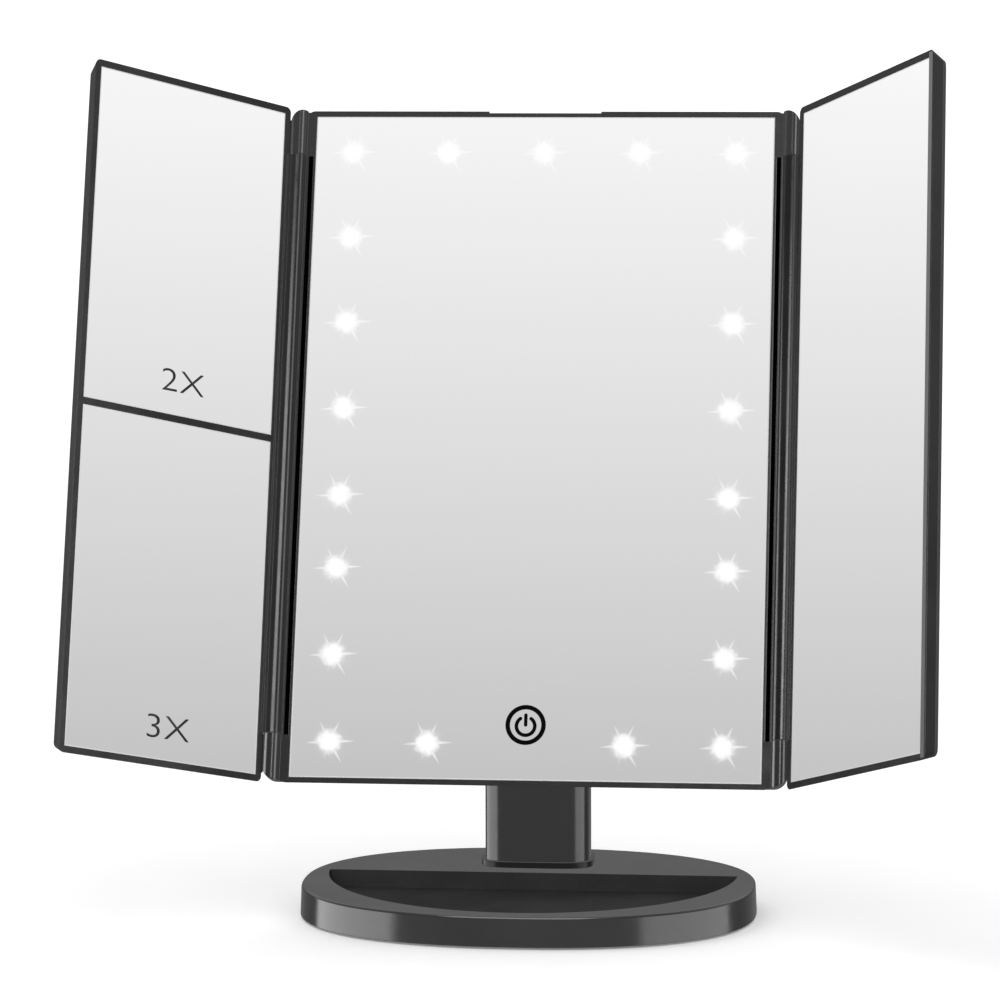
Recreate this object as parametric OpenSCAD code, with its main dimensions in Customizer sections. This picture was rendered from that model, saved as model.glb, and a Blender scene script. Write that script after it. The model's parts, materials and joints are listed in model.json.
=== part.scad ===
// Trifold vanity mirror with a lit centre panel, two folding wings, a tilt joint and a tray base.
// Row frame: X to the right, Y away from the viewer, Z up. The floor is Z = 0 and the
// origin lies under the middle of the base.
// Panel frame: X right, Y into the panel from the face of the glass, Z up from the glass's lower edge.

/* [Centre panel] */
// Width of the centre glass
glass_w = 161; // [140:0.1:190]
// Height of the centre glass
glass_h = 235; // [200:1:280]
// Thickness of the flat glass
glass_t = 2; // [1.5:0.1:3]
// Width of the rim at the left and right of the centre glass
side_rim = 0.8; // [0.7:0.1:2]
// Width of the dark slot between the side rim and the strip beside the hinge barrels
slot_w = 1.1; // [0.8:0.1:1.4]
// Depth of the slot behind the face of the glass
slot_depth = 3.3; // [2:0.1:3.3]
// Width of the rim above and below the centre glass
end_rim = 2; // [1.6:0.1:4]
// How far each rim stands in front of its glass
rim_proud = 0.2; // [0.1:0.1:1]
// Depth of the centre frame behind the face of the glass
frame_depth = 9; // [8.5:0.5:14]
// Depth that the rear cover adds behind the centre frame
cover_depth = 6; // [5:0.5:10]
// Draft angle of the housings' side walls
draft = 18; // [10:1:22]
// Thickness of the housings' walls
wall = 2; // [1.5:0.1:2.5]
// Radius of the housings' corners
corner_r = 2; // [1:0.5:5]
// Width of the finger notch in the top rim
notch_w = 39.4; // [20:1:60]
// Depth of the finger notch in the top rim
notch_h = 0.6; // [0.3:0.1:1]

/* [Lighting] */
// Distance of the outer LED columns from the glass's side edges
led_side_gap = 13.3; // [12:0.1:18]
// Height of the lowest LED row above the glass's lower edge
led_low = 12.4; // [10:0.1:16]
// Distance of the top LED row from the glass's upper edge
led_top_gap = 13; // [10:0.1:18]
// Row pitch of the upper run of LEDs
led_pitch_upper = 30.8; // [24:0.1:34]
// Row pitch of the lower run of LEDs
led_pitch_lower = 30.4; // [24:0.1:34]
// Number of rows in the upper run, the top row included
led_rows_upper = 5; // [3:1:5]
// Number of rows in the lower run, the bottom row included
led_rows_lower = 3; // [2:1:3]
// Radius of the light well behind each LED window
well_r = 4; // [3:0.5:5]
// Thickness of the white light mask behind the glass
mask_t = 1.5; // [1.2:0.1:2]
// Thickness of the circuit boards
board_t = 1; // [0.8:0.1:1.6]
// Width of the LED board's strips
strip_w = 9; // [8:0.5:10]
// Edge length of an LED chip
chip_w = 3.5; // [2:0.1:5]
// Thickness of an LED chip
chip_t = 0.8; // [0.6:0.1:1.2]
// Height of the touch switch above the glass's lower edge
touch_z = 19.1; // [16:0.1:24]
// Radius of the touch switch's sensing spring
touch_r = 3; // [2:0.1:4]

/* [Wings] */
// Distance of a wing's glass from its hinge axis
wing_glass_u = 5.5; // [5.2:0.1:7]
// Width of the glass in a wing
wing_glass_w = 77; // [70:0.1:77.5]
// Width of a wing's rim
wing_rim = 2.4; // [2:0.1:4]
// Depth of a wing behind the face of its glass
wing_depth = 7; // [6.5:0.1:9]
// Width of the bar between the two magnifying panes
divider_w = 2.5; // [2:0.1:5]
// Height of the dome on a magnifying pane's back, at the dome's corners
dome_edge = 0.3; // [0.2:0.05:0.5]
// Radius of the domed back of the 2X pane
lens_r_2x = 1600; // [1200:50:3000]
// Radius of the domed back of the 3X pane
lens_r_3x = 1200; // [1000:50:3000]
// Angle of the left wing forward of flat
left_angle = 43.8; // [0:0.1:90]
// Angle of the right wing forward of flat
right_angle = 54.6; // [0:0.1:90]

/* [Wing hinges] */
// Distance of the hinge axis outside the centre glass
hinge_out = 6.1; // [5.8:0.1:8]
// Distance of the hinge axis in front of the face of the glass
hinge_ahead = 1.2; // [1:0.1:2]
// Radius of the hinge barrels
barrel_r = 3; // [2.6:0.1:3]
// Radius of the steel hinge pins
pin_r = 1; // [0.8:0.1:1.2]
// Length of a hinge pin
pin_len = 26; // [20:1:30]
// Length of each fixed knuckle
knuckle_len = 16.5; // [14:0.5:24]
// Radius of a knuckle's rounded outer shoulder
shoulder_r = 5; // [3:0.5:5]
// How far the knuckles' ends lie inside the panel's ends
knuckle_drop = 0.5; // [0.2:0.1:1]
// Distance of each hinge pin from the panel's end
pin_inset = 3.5; // [3:0.1:5]
// End gap between a fixed knuckle and the wing's barrel
seam_gap = 0.2; // [0.1:0.05:0.4]
// Distance of a wing's frame from its hinge axis
wing_gap = 3.25; // [3.2:0.05:4]
// How far the housing behind a hinge barrel reaches past the hinge axis
flange_past = 2.4; // [1:0.1:2.6]

/* [Tilt joint] */
// Angle that the panel leans back from upright
tilt = 19.5; // [0:0.5:45]
// Height of the tilt axis above the base
axis_rise = 55.85; // [50:0.05:70]
// Distance of the tilt axis behind the middle of the base
axis_y = 22; // [15:0.5:30]
// Distance of the tilt axis behind the face of the glass
axis_depth = 29.1; // [27:0.1:36]
// Height of the tilt axis above the glass's lower edge
axis_height = 29.5; // [24:0.5:34]
// Radius of the tilt barrel and of the ears around it
tilt_r = 8; // [6:0.5:9]
// Length of the tilt barrel
tilt_barrel_w = 23; // [16:1:25]
// Thickness of each ear
ear_t = 5; // [3:0.5:6]
// Radius of the tilt axle
axle_r = 2.5; // [1.5:0.1:3]
// Thickness of the friction washers
washer_t = 0.8; // [0.5:0.1:1.2]

/* [Battery bay] */
// Diameter of one battery cell
cell_d = 10.5; // [10:0.1:11]
// Length of one battery cell
cell_len = 44.5; // [44:0.1:46]
// Number of cells side by side
cells = 4; // [2:1:4]
// Length that the contacts and springs take at the cells' ends
contact_room = 8.5; // [7:0.5:10]
// Height of the bay's lower end above the glass's lower edge
bay_low = 58; // [56:1:110]
// Thickness of the battery door
door_t = 2; // [1.6:0.1:2.4]

/* [Neck] */
// Width of the neck
neck_w = 36.6; // [30:0.1:40]
// Depth of the neck
neck_d = 21; // [18:0.1:24]
// Distance of the neck's middle behind the middle of the base
neck_y = 34; // [29:0.5:36]
// Height of the neck's shoulders above the base
shoulder_rise = 42; // [36:0.5:44]
// Squareness of the neck's section, where 2 is an ellipse
neck_power = 4; // [2:0.1:5]
// How far the foot flange stands out from the neck
flange_out = 1.3; // [0.8:0.1:2]
// Height of the foot flange
flange_h = 2; // [1:0.1:3]

/* [Base] */
// Width of the base
base_w = 155.6; // [130:0.1:200]
// Depth of the base
base_d = 120; // [110:0.1:150]
// Height of the base above its pad's underside
base_h = 10.95; // [10:0.05:16]
// How much wider each side of the base is at the bottom
base_flare = 0.4; // [0:0.1:1]
// Radius of the base's top edge
base_edge_r = 0.8; // [0.4:0.1:1.2]
// Squareness of the base's outline, where 2 is an ellipse
base_power = 2.3; // [2:0.05:3]
// Height of the base shell above the floor, on its pad
pad_lift = 0.8; // [0.5:0.1:1.5]
// Width of the rim in front of the tray
tray_rim = 7; // [5:0.5:12]
// Width of the rim at the tray's ends
tray_end_rim = 6.9; // [5:0.1:12]
// Distance of the tray's straight rear edge behind the middle of the base
tray_back = 14.6; // [5:0.1:15]
// Depth of the tray
tray_depth = 6; // [4:0.1:6.2]
// Thickness of the base's bottom plate
plate_t = 2.4; // [2:0.1:2.6]

/* [Screws] */
// Radius of a screw's shank
screw_r = 1.3; // [1:0.1:1.5]
// Radius of a screw's head
head_r = 2.4; // [2:0.1:2.8]
// Height of a screw's head
head_h = 1.2; // [0.8:0.1:1.4]

/* [Fits] */
// Gap around glass, boards and covers in their seats
fit_gap = 0.1; // [0.05:0.01:0.3]
// Radial clearance of a pin that turns in its bore
run_gap = 0.05; // [0.02:0.01:0.1]

/* [Hidden] */
$fn = 48;
eps = 0.01;
outline_steps = 96;   // points round a superellipse
corner_steps = 6;     // facets round a housing's corner

charcoal = [0.13, 0.13, 0.135];
silver = [0.86, 0.87, 0.88];
steel = [0.62, 0.63, 0.65];
white_plastic = [0.93, 0.93, 0.92];
board_green = [0.05, 0.32, 0.16];

// Centre panel and wing hinges
barrel_room = 0.3;                  // gap between the wings' barrels and the fixed parts beside them
slot_x = glass_w / 2 + side_rim;
low_z = -end_rim;
high_z = glass_h + end_rim;
hinge_x = glass_w / 2 + hinge_out;
face_w = hinge_x - sqrt(pow(barrel_r + barrel_room, 2) - pow(hinge_ahead - rim_proud, 2));
flange_y = barrel_r - hinge_ahead + 0.35;   // face of the housing behind the barrels
barrel_low = low_z + knuckle_len;
barrel_high = high_z - knuckle_len;
web_back = barrel_r - hinge_ahead - 0.2;     // back of the web between a barrel and its wing
split_y = frame_depth;
panel_back = frame_depth + cover_depth;
bevel_y = panel_back - wall;        // where the rear edge starts to round off
bevel_in = wall;                    // extra inset of the rear edge
mask_back = glass_t + mask_t;
ledge_x = glass_w / 2 - 3.9;        // inner edge of the ledge that the glass rests on
ledge_back = mask_back + board_t;
cavity_x = flange_w(split_y) - wall - 0.2;
cavity_low = low_z + inset(split_y) + wall + 0.2;
cavity_high = high_z - inset(split_y) - wall - 0.2;
cover_cavity_x = flange_w(bevel_y) - wall - 0.4;
cover_cavity_low = low_z + inset(bevel_y) + wall + 0.2;
cover_cavity_high = high_z - inset(bevel_y) - wall - 0.2;
lip_h = 2;
lip_t = 1.3;
tip_room = 0.3;                     // free depth beyond a screw's tip

// LED layout
led_x = glass_w / 2 - led_side_gap;
led_top = glass_h - led_top_gap;
side_led_z = concat([for (i = [1:led_rows_upper - 1]) led_top - i * led_pitch_upper],
    [for (i = [0:led_rows_lower - 1]) led_low + i * led_pitch_lower]);
led_spots = concat([for (i = [-2:2]) [i * led_x / 2, led_top]],
    [for (s = [-1, 1], z = side_led_z) [s * led_x, z]],
    [for (s = [-1, 1]) [s * led_x / 2, led_low]]);

// Control board, carried on posts of the rear cover
ctrl_x0 = -26;
ctrl_x1 = 48;
ctrl_z0 = cover_cavity_low + 1;
ctrl_z1 = 46;
ctrl_y = frame_depth - 1;
ctrl_post_r = 2.6;
ctrl_bore_back = bevel_y - 0.6;
ctrl_inset = 4;
ctrl_posts = [[ctrl_x0 + ctrl_inset, ctrl_z0 + ctrl_inset], [ctrl_x1 - ctrl_inset, ctrl_z0 + ctrl_inset],
    [ctrl_x0 + ctrl_inset, ctrl_z1 - ctrl_inset], [ctrl_x1 - ctrl_inset, ctrl_z1 - ctrl_inset]];
usb_x = 30;
usb_w = 7.6;
usb_h = 2.8;
usb_len = 5.6;

// Screws of the rear cover
cover_screw_x = cover_cavity_x - 5;
cover_screw_z = [cover_cavity_low + 9, glass_h / 2, cover_cavity_high - 9];
boss_r = head_r + 0.9;
boss_front = mask_back + board_t + 0.3;
boss_skin = 0.6;

// Wings
wing_u1 = wing_glass_u + wing_glass_w + wing_rim;
wing_low = -wing_rim;
wing_high = glass_h + wing_rim;
wing_split = 4.6;
wing_edge = 0.8;                    // bevel round a wing's back
wing_bevel = wing_depth - wing_edge;
wing_shell_front = wing_split + 1;  // inner face of a wing's back wall
wing_ledge = 2.4;
pane_h = (glass_h - divider_w) / 2;
dome_w = wing_glass_w - 2 * (wing_ledge + fit_gap);
dome_h = pane_h - 2 * (wing_ledge + fit_gap);
rib_t = 1.2;
rib_pitch = 36;

// Tilt joint
base_top = base_h;
axis_z = base_top + axis_rise;
ear_in = tilt_barrel_w / 2 + washer_t + 0.1;
ear_out = ear_in + ear_t;
ear_half_h = 16;
ear_low = axis_height - ear_half_h;
ear_high = axis_height + ear_half_h;
pad_y = panel_back + 2;
axle_head_h = 3;
nut_h = 3.5;

// Battery bay
bay_x = cells * cell_d / 2 + 1.3;
bay_high = bay_low + cell_len + contact_room;
bay_floor = panel_back - 7.6;
bay_wall = 1.5;
hump_x = bay_x + 6.7;
hump_low = bay_low - 8;
hump_high = bay_high + 7;
hump_back = bay_floor + cell_d + 0.5 + door_t;
hump_taper = 1.5;
door_front = hump_back - door_t;
tongue_t = door_t / 2;
tongue_w = 1.4;
door_x = bay_x + 2.6;
door_low = bay_low - 4;
contact_t = 0.4;
spring_wire = 0.35;

// Neck
neck_top = base_top + shoulder_rise;
plug_in = 2.6;                       // the plug is this much smaller than the neck
plate_top = pad_lift + plate_t;
neck_bore_top = base_top + 4;
neck_boss_x = 9.5;
neck_wall = 2.4;

// Base
shell_wall = 2.2;
tray_a = base_w / 2 - tray_end_rim;
tray_arc_y = tray_back + 2.3;
tray_b = base_d / 2 - tray_rim + tray_arc_y;
tray_floor = base_top - tray_depth;
pad_recess = 0.4;
pad_margin = 6;
base_bore_top = base_top - wall - 1.2;
rear_screw = [neck_w / 2 + 11.7, base_d / 2 - 12];
side_screw = [base_w / 2 - 19.8, tray_back + 9.4];
base_screw_spots = [for (s = [-1, 1], p = [rear_screw, side_screw]) [s * p[0], p[1]]];

// How far a drafted wall has drawn in at depth y
function inset(y) = (y + rim_proud) * tan(draft);

// Half width of the housing behind the hinge barrels, at depth y
function flange_w(y) = hinge_x + flange_past - (y - flange_y) * tan(draft);

function signed_power(v, p) = sign(v) * pow(abs(v), p);

function superellipse(a, b, n, cy = 0) = [for (i = [0:outline_steps - 1])
    let (t = 360 * i / outline_steps)
    [a * signed_power(cos(t), 2 / n), cy + b * signed_power(sin(t), 2 / n)]];

// Front arc of the tray, closed by its straight rear edge; grow widens it all round
function tray_outline(grow = 0) = let (a = tray_a + grow, b = tray_b + grow,
    edge = asin(-(tray_arc_y - tray_back - grow) / b))
    [for (i = [0:outline_steps / 2])
        let (t = 180 - edge + (180 + 2 * edge) * i / (outline_steps / 2))
        [a * cos(t), tray_arc_y + b * sin(t)]];

function corner_arc(cx, cz, r, start) = [for (i = [0:corner_steps])
    let (t = start + 90 * i / corner_steps) [cx + r * cos(t), cz + r * sin(t)]];

function round_rect(x0, x1, z0, z1, r) = concat(corner_arc(x1 - r, z1 - r, r, 0),
    corner_arc(x0 + r, z1 - r, r, 90), corner_arc(x0 + r, z0 + r, r, 180),
    corner_arc(x1 - r, z0 + r, r, 270));

// Where the tangent from point p meets the circle at c; side picks one of the two
function tangent_point(p, c, r, side) = let (d = p - c, l = norm(d),
    t = atan2(d[1], d[0]) + side * acos(r / l)) [c[0] + r * cos(t), c[1] + r * sin(t)];

// Solid between a front outline at depth y0 and a back outline at depth y1
module loft_y(front, y0, back, y1) {
    n = len(front);
    polyhedron(
        points = concat([for (p = front) [p[0], y0, p[1]]], [for (p = back) [p[0], y1, p[1]]]),
        faces = concat([[for (i = [0:n - 1]) n - 1 - i]], [[for (i = [0:n - 1]) n + i]],
            [for (i = [0:n - 1]) [i, (i + 1) % n, n + (i + 1) % n, n + i]]));
}

module box(x0, x1, y0, y1, z0, z1) {
    translate([x0, y0, z0]) cube([x1 - x0, y1 - y0, z1 - z0]);
}

// Cylinder along Y from depth y0 to y1
module rod_y(x, z, y0, y1, r) {
    translate([x, y1, z]) rotate([90, 0, 0]) cylinder(h = y1 - y0, r = r);
}

// Cylinder along X from x0 to x1
module rod_x(y, z, x0, x1, r) {
    translate([x0, y, z]) rotate([0, 90, 0]) cylinder(h = x1 - x0, r = r);
}

// Profile drawn in Y and Z, extruded from x0 to x1
module extrude_x(x0, x1) {
    translate([x0, 0, 0]) rotate([90, 0, 90]) linear_extrude(x1 - x0) children();
}

// Pan-head screw along Z, head down, seat at z = 0
module screw(len) {
    translate([0, 0, -head_h]) cylinder(h = head_h, r = head_r);
    cylinder(h = len, r = screw_r);
}

module in_panel() {
    translate([0, axis_y, axis_z]) rotate([-tilt, 0, 0])
        translate([0, -axis_depth, -axis_height]) children();
}

// The right wing is drawn with X outwards from the hinge axis, and the left one is its mirror image
module in_wing(side) {
    angle = side < 0 ? left_angle : right_angle;
    in_panel() mirror([side < 0 ? 1 : 0, 0, 0]) translate([hinge_x, -hinge_ahead, 0])
        rotate([0, 0, -angle]) translate([0, hinge_ahead, 0]) children();
}

// ---- Base ----

// Closed solid through a stack of outlines, each one drawn at its own height
module ring_stack(rings) {
    n = len(rings[0]);
    last = len(rings) - 1;
    polyhedron(
        points = [for (ring = rings, p = ring) p],
        faces = concat([[for (i = [0:n - 1]) i]], [[for (i = [0:n - 1]) last * n + n - 1 - i]],
            [for (j = [0:last - 1], i = [0:n - 1])
                [j * n + i, (j + 1) * n + i, (j + 1) * n + (i + 1) % n, j * n + (i + 1) % n]]));
}

// Outline of the base, grown at its ends by out and in proportion elsewhere
function base_ring(out, z) = let (k = 1 + 2 * out / base_w)
    [for (p = superellipse(k * base_w / 2, k * base_d / 2, base_power)) [p[0], p[1], z]];

module base_block() {
    edge = [for (t = [0, 30, 60, 90])
        base_ring(base_edge_r * (cos(t) - 1), base_top - base_edge_r * (1 - sin(t)))];
    ring_stack(concat([base_ring(base_flare, pad_lift)], edge));
}

module prism(outline, z0, z1) {
    translate([0, 0, z0]) linear_extrude(z1 - z0) polygon(outline);
}

module base_shell() {
    color(charcoal) difference() {
        union() {
            difference() {
                base_block();
                difference() {
                    prism(superellipse(base_w / 2 - shell_wall, base_d / 2 - shell_wall, base_power),
                        pad_lift - 1, base_top - wall);
                    prism(tray_outline(wall), plate_top + fit_gap, base_top);
                }
            }
            // socket wall round the neck's plug
            prism(neck_outline(wall - plug_in), plate_top, base_top - wall + eps);
            for (p = base_screw_spots)
                translate([p[0], p[1], plate_top]) cylinder(h = base_top - wall - plate_top + eps, r = boss_r);
        }
        prism(tray_outline(), tray_floor, base_top + 1);
        prism(neck_outline(fit_gap - plug_in), plate_top - 1, base_top + 1);
        for (p = base_screw_spots)
            translate([p[0], p[1], 0]) cylinder(h = base_bore_top, r = screw_r + run_gap);
    }
}

function neck_outline(grow) = superellipse(neck_w / 2 + grow, neck_d / 2 + grow, neck_power, neck_y);

module base_plate() {
    gap = shell_wall + fit_gap;
    color(charcoal) difference() {
        prism(superellipse(base_w / 2 - gap, base_d / 2 - gap, base_power), pad_lift, plate_top);
        prism(superellipse(base_w / 2 - pad_margin + fit_gap, base_d / 2 - pad_margin + fit_gap, base_power),
            pad_lift - 1, pad_lift + pad_recess);
        for (p = concat(base_screw_spots, neck_screw_spots())) translate([p[0], p[1], 0]) {
            cylinder(h = screw_seat(), r = head_r + fit_gap);
            cylinder(h = plate_top + 1, r = screw_r + run_gap);
        }
    }
}

function screw_seat() = pad_lift + pad_recess + head_h;
function neck_screw_spots() = [for (s = [-1, 1]) [s * neck_boss_x, neck_y]];

module base_pad() {
    color([0.05, 0.05, 0.05])
        prism(superellipse(base_w / 2 - pad_margin, base_d / 2 - pad_margin, base_power),
            0, pad_lift + pad_recess);
}

module base_screws() {
    color(steel) for (p = base_screw_spots) translate([p[0], p[1], screw_seat()])
        screw(base_bore_top - tip_room - screw_seat());
}

// ---- Neck ----

module neck() {
    shoulder_y = [neck_y - neck_d / 2, neck_y + neck_d / 2];
    axis = [axis_y, axis_z];
    front = [axis_y - tilt_r, axis_z];
    rear = tangent_point([shoulder_y[1], neck_top], axis, tilt_r, 1);
    color(charcoal) difference() {
        union() {
            prism(neck_outline(0), base_top, neck_top);
            prism(neck_outline(flange_out), base_top, base_top + flange_h);
            prism(neck_outline(-plug_in), plate_top, base_top + eps);
            extrude_x(-tilt_barrel_w / 2, tilt_barrel_w / 2)
                polygon([[shoulder_y[0] + 0.4, neck_top - 4], [shoulder_y[1] - 0.4, neck_top - 4],
                    [shoulder_y[1] - 0.4, neck_top], rear, axis, front, [shoulder_y[0] + 0.4, neck_top - 1]]);
            rod_x(axis_y, axis_z, -tilt_barrel_w / 2, tilt_barrel_w / 2, tilt_r);
        }
        difference() {
            union() {
                prism(neck_outline(-plug_in - wall), plate_top - 1, base_top + 1);
                prism(neck_outline(-neck_wall), base_top, neck_top - neck_wall);
            }
            for (s = [-1, 1]) {
                translate([s * neck_boss_x, neck_y, 0]) cylinder(h = neck_top, r = boss_r);
                box(s * neck_boss_x - 1, s * neck_boss_x + 1, neck_y - neck_d, neck_y + neck_d,
                    base_top + 4, neck_top);
                mirror([s < 0 ? 1 : 0, 0, 0]) box(neck_boss_x, neck_w / 2, neck_y - 0.8, neck_y + 0.8,
                    plate_top, neck_top);
            }
        }
        for (p = neck_screw_spots()) translate([p[0], p[1], 0])
            cylinder(h = neck_bore_top, r = screw_r + run_gap);
        rod_x(axis_y, axis_z, -tilt_barrel_w, tilt_barrel_w, axle_r + run_gap);
    }
}

module neck_screws() {
    color(steel) for (p = neck_screw_spots()) translate([p[0], p[1], screw_seat()])
        screw(neck_bore_top - tip_room - screw_seat());
}

// ---- Tilt joint ----

module tilt_axle() {
    color(steel) in_panel() {
        rod_x(axis_depth, axis_height, -ear_out - nut_h, ear_out, axle_r);
        rod_x(axis_depth, axis_height, ear_out, ear_out + axle_head_h, axle_r + 2);
    }
}

module tilt_nut() {
    color(steel) in_panel() difference() {
        translate([-ear_out - nut_h, axis_depth, axis_height]) rotate([0, 90, 0])
            cylinder(h = nut_h, r = axle_r + 2, $fn = 6);
        rod_x(axis_depth, axis_height, -ear_out - nut_h - 1, -ear_out + 1, axle_r + fit_gap / 5);
    }
}

module tilt_washers() {
    color(steel) in_panel() for (s = [-1, 1]) mirror([s < 0 ? 1 : 0, 0, 0]) difference() {
        rod_x(axis_depth, axis_height, ear_in - washer_t, ear_in, tilt_r - 1);
        rod_x(axis_depth, axis_height, ear_in - washer_t - 1, ear_in + 1, axle_r + run_gap);
    }
}

// ---- Centre panel ----

// Drafted housing between depths y0 and y1, w0 and w1 wide each side of the middle
module panel_block(y0, y1, w0, w1, r, extra = 0) {
    i0 = inset(y0);
    i1 = inset(y1) + extra;
    loft_y(round_rect(-w0, w0, low_z + i0, high_z - i0, r), y0,
        round_rect(extra - w1, w1 - extra, low_z + i1, high_z - i1, r), y1);
}

// The housing behind the barrels; extra draws the back outline in further
module flanged_block(y0, y1, extra = 0) {
    panel_block(y0, y1, flange_w(y0), flange_w(y1), shoulder_r, extra);
}

module fixed_knuckle(z0, z1) {
    for (s = [-1, 1]) mirror([s < 0 ? 1 : 0, 0, 0]) difference() {
        union() {
            translate([hinge_x, -hinge_ahead, z0]) cylinder(h = z1 - z0, r = barrel_r);
            box(slot_x, hinge_x, -rim_proud, flange_y, z0, z1);
        }
        // rounded shoulder at the free end
        translate([hinge_x + barrel_r - shoulder_r, flange_y + 1, 0]) rotate([90, 0, 0])
            linear_extrude(flange_y + hinge_ahead + barrel_r + 2) shoulder_cut(z0, z1);
    }
}

module shoulder_cut(z0, z1) {
    top = z1 > glass_h;
    z = top ? z1 - shoulder_r : z0 + shoulder_r;
    difference() {
        translate([0, top ? z : z0 - 1]) square([shoulder_r + 1, shoulder_r + 1]);
        translate([0, z]) circle(shoulder_r);
    }
}

module pin_bores(r) {
    for (z = [low_z + pin_inset, high_z - pin_inset - pin_len])
        translate([0, 0, z]) cylinder(h = pin_len, r = r);
}

module centre_frame() {
    color(charcoal) in_panel() difference() {
        union() {
            difference() {
                union() {
                    panel_block(-rim_proud, flange_y, face_w, face_w, corner_r);
                    flanged_block(flange_y, split_y);
                }
                box(-ledge_x, ledge_x, glass_t, split_y + 1, cavity_low, cavity_high);
                box(-cavity_x, cavity_x, ledge_back, split_y + 1, cavity_low, cavity_high);
            }
            fixed_knuckle(low_z + knuckle_drop, barrel_low);
            fixed_knuckle(barrel_high, high_z - knuckle_drop);
            // bosses for the rear cover's screws
            for (s = [-1, 1], z = cover_screw_z) mirror([s < 0 ? 1 : 0, 0, 0]) {
                rod_y(cover_screw_x, z, boss_front, split_y, boss_r);
                box(cover_screw_x, cavity_x + 0.5, boss_front, split_y, z - 1.5, z + 1.5);
            }
        }
        box(-glass_w / 2 - fit_gap, glass_w / 2 + fit_gap, -rim_proud - 1, glass_t,
            -fit_gap, glass_h + fit_gap);
        box(-notch_w / 2, notch_w / 2, -rim_proud - 1, 3, high_z - notch_h, high_z + 1);
        for (s = [-1, 1]) {
            mirror([s < 0 ? 1 : 0, 0, 0])
                box(slot_x, slot_x + slot_w, -rim_proud - 1, slot_depth, barrel_low, barrel_high);
            translate([s * hinge_x, -hinge_ahead, 0]) pin_bores(pin_r + fit_gap / 5);
            for (z = cover_screw_z)
                rod_y(s * cover_screw_x, z, boss_front + boss_skin, split_y + 1, screw_r + run_gap);
        }
    }
}

module centre_mirror() {
    color(silver) in_panel() box(-glass_w / 2, glass_w / 2, 0, glass_t, 0, glass_h);
}

module light_mask() {
    color(white_plastic) in_panel() difference() {
        box(-ledge_x + fit_gap, ledge_x - fit_gap, glass_t, mask_back,
            cavity_low + fit_gap, cavity_high - fit_gap);
        for (p = led_spots) rod_y(p[0], p[1], glass_t - 1, mask_back + 1, well_r);
        rod_y(0, touch_z, glass_t - 1, mask_back + 1, touch_r + 1.5);
    }
}

module led_board() {
    low = led_low - strip_w / 2;
    high = led_top + strip_w / 2;
    out = led_x + strip_w / 2;
    in_x = led_x - strip_w / 2;
    color(board_green) in_panel() difference() {
        box(-out, out, mask_back, mask_back + board_t, low, high);
        box(-in_x, in_x, mask_back - 1, mask_back + board_t + 1, led_low + strip_w / 2, led_top - strip_w / 2);
        rod_y(0, touch_z, mask_back - 1, mask_back + board_t + 1, touch_r + 4);
    }
}

module leds() {
    color([1, 1, 0.95]) in_panel() for (p = led_spots)
        box(p[0] - chip_w / 2, p[0] + chip_w / 2, mask_back - chip_t, mask_back,
            p[1] - chip_w / 2, p[1] + chip_w / 2);
}

module touch_spring() {
    color(steel) in_panel() difference() {
        rod_y(0, touch_z, glass_t, ctrl_y, touch_r);
        rod_y(0, touch_z, glass_t + 0.5, ctrl_y + 1, touch_r - 0.5);
    }
}

module control_board() {
    color(board_green) in_panel() difference() {
        box(ctrl_x0, ctrl_x1, ctrl_y, ctrl_y + board_t, ctrl_z0, ctrl_z1);
        for (p = ctrl_posts) rod_y(p[0], p[1], ctrl_y - 1, ctrl_y + board_t + 1, screw_r + run_gap);
    }
}

module usb_socket() {
    mouth = low_z + inset(ctrl_y + board_t);
    color(steel) in_panel() difference() {
        box(usb_x - usb_w / 2, usb_x + usb_w / 2, ctrl_y + board_t, ctrl_y + board_t + usb_h,
            mouth + 0.4, mouth + 0.4 + usb_len);
        box(usb_x - usb_w / 2 + 0.4, usb_x + usb_w / 2 - 0.4, ctrl_y + board_t + 0.4,
            ctrl_y + board_t + usb_h - 0.4, mouth - 1, mouth + usb_len - 0.6);
    }
}

module board_screws() {
    color(steel) in_panel() for (p = ctrl_posts)
        translate([p[0], ctrl_y, p[1]]) rotate([-90, 0, 0])
            screw(ctrl_bore_back - tip_room - ctrl_y);
}

// ---- Rear cover ----

module ear() {
    c = [axis_depth, axis_height];
    low = [panel_back - 1, ear_low];
    high = [panel_back - 1, ear_high];
    extrude_x(ear_in, ear_out) {
        polygon([low, tangent_point(low, c, tilt_r, 1), c, tangent_point(high, c, tilt_r, -1), high]);
        translate(c) circle(tilt_r);
    }
}

module hump() {
    z0 = hump_low;
    z1 = hump_high;
    loft_y(round_rect(-hump_x, hump_x, z0, z1, corner_r), bevel_y,
        round_rect(-hump_x + hump_taper, hump_x - hump_taper, z0 + hump_taper, z1, corner_r), hump_back);
}

module cover_lip() {
    x = cavity_x - fit_gap;
    z0 = cavity_low + fit_gap;
    z1 = cavity_high - fit_gap;
    difference() {
        box(-x, x, split_y - lip_h, split_y + 1, z0, z1);
        box(-x + lip_t, x - lip_t, split_y - lip_h - 1, split_y + 2, z0 + lip_t, z1 - lip_t);
        for (s = [-1, 1], z = cover_screw_z) mirror([s < 0 ? 1 : 0, 0, 0])
            box(cover_screw_x - boss_r, cavity_x + 1, split_y - lip_h - 1, split_y, z - boss_r - 1, z + boss_r + 1);
    }
}

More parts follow.
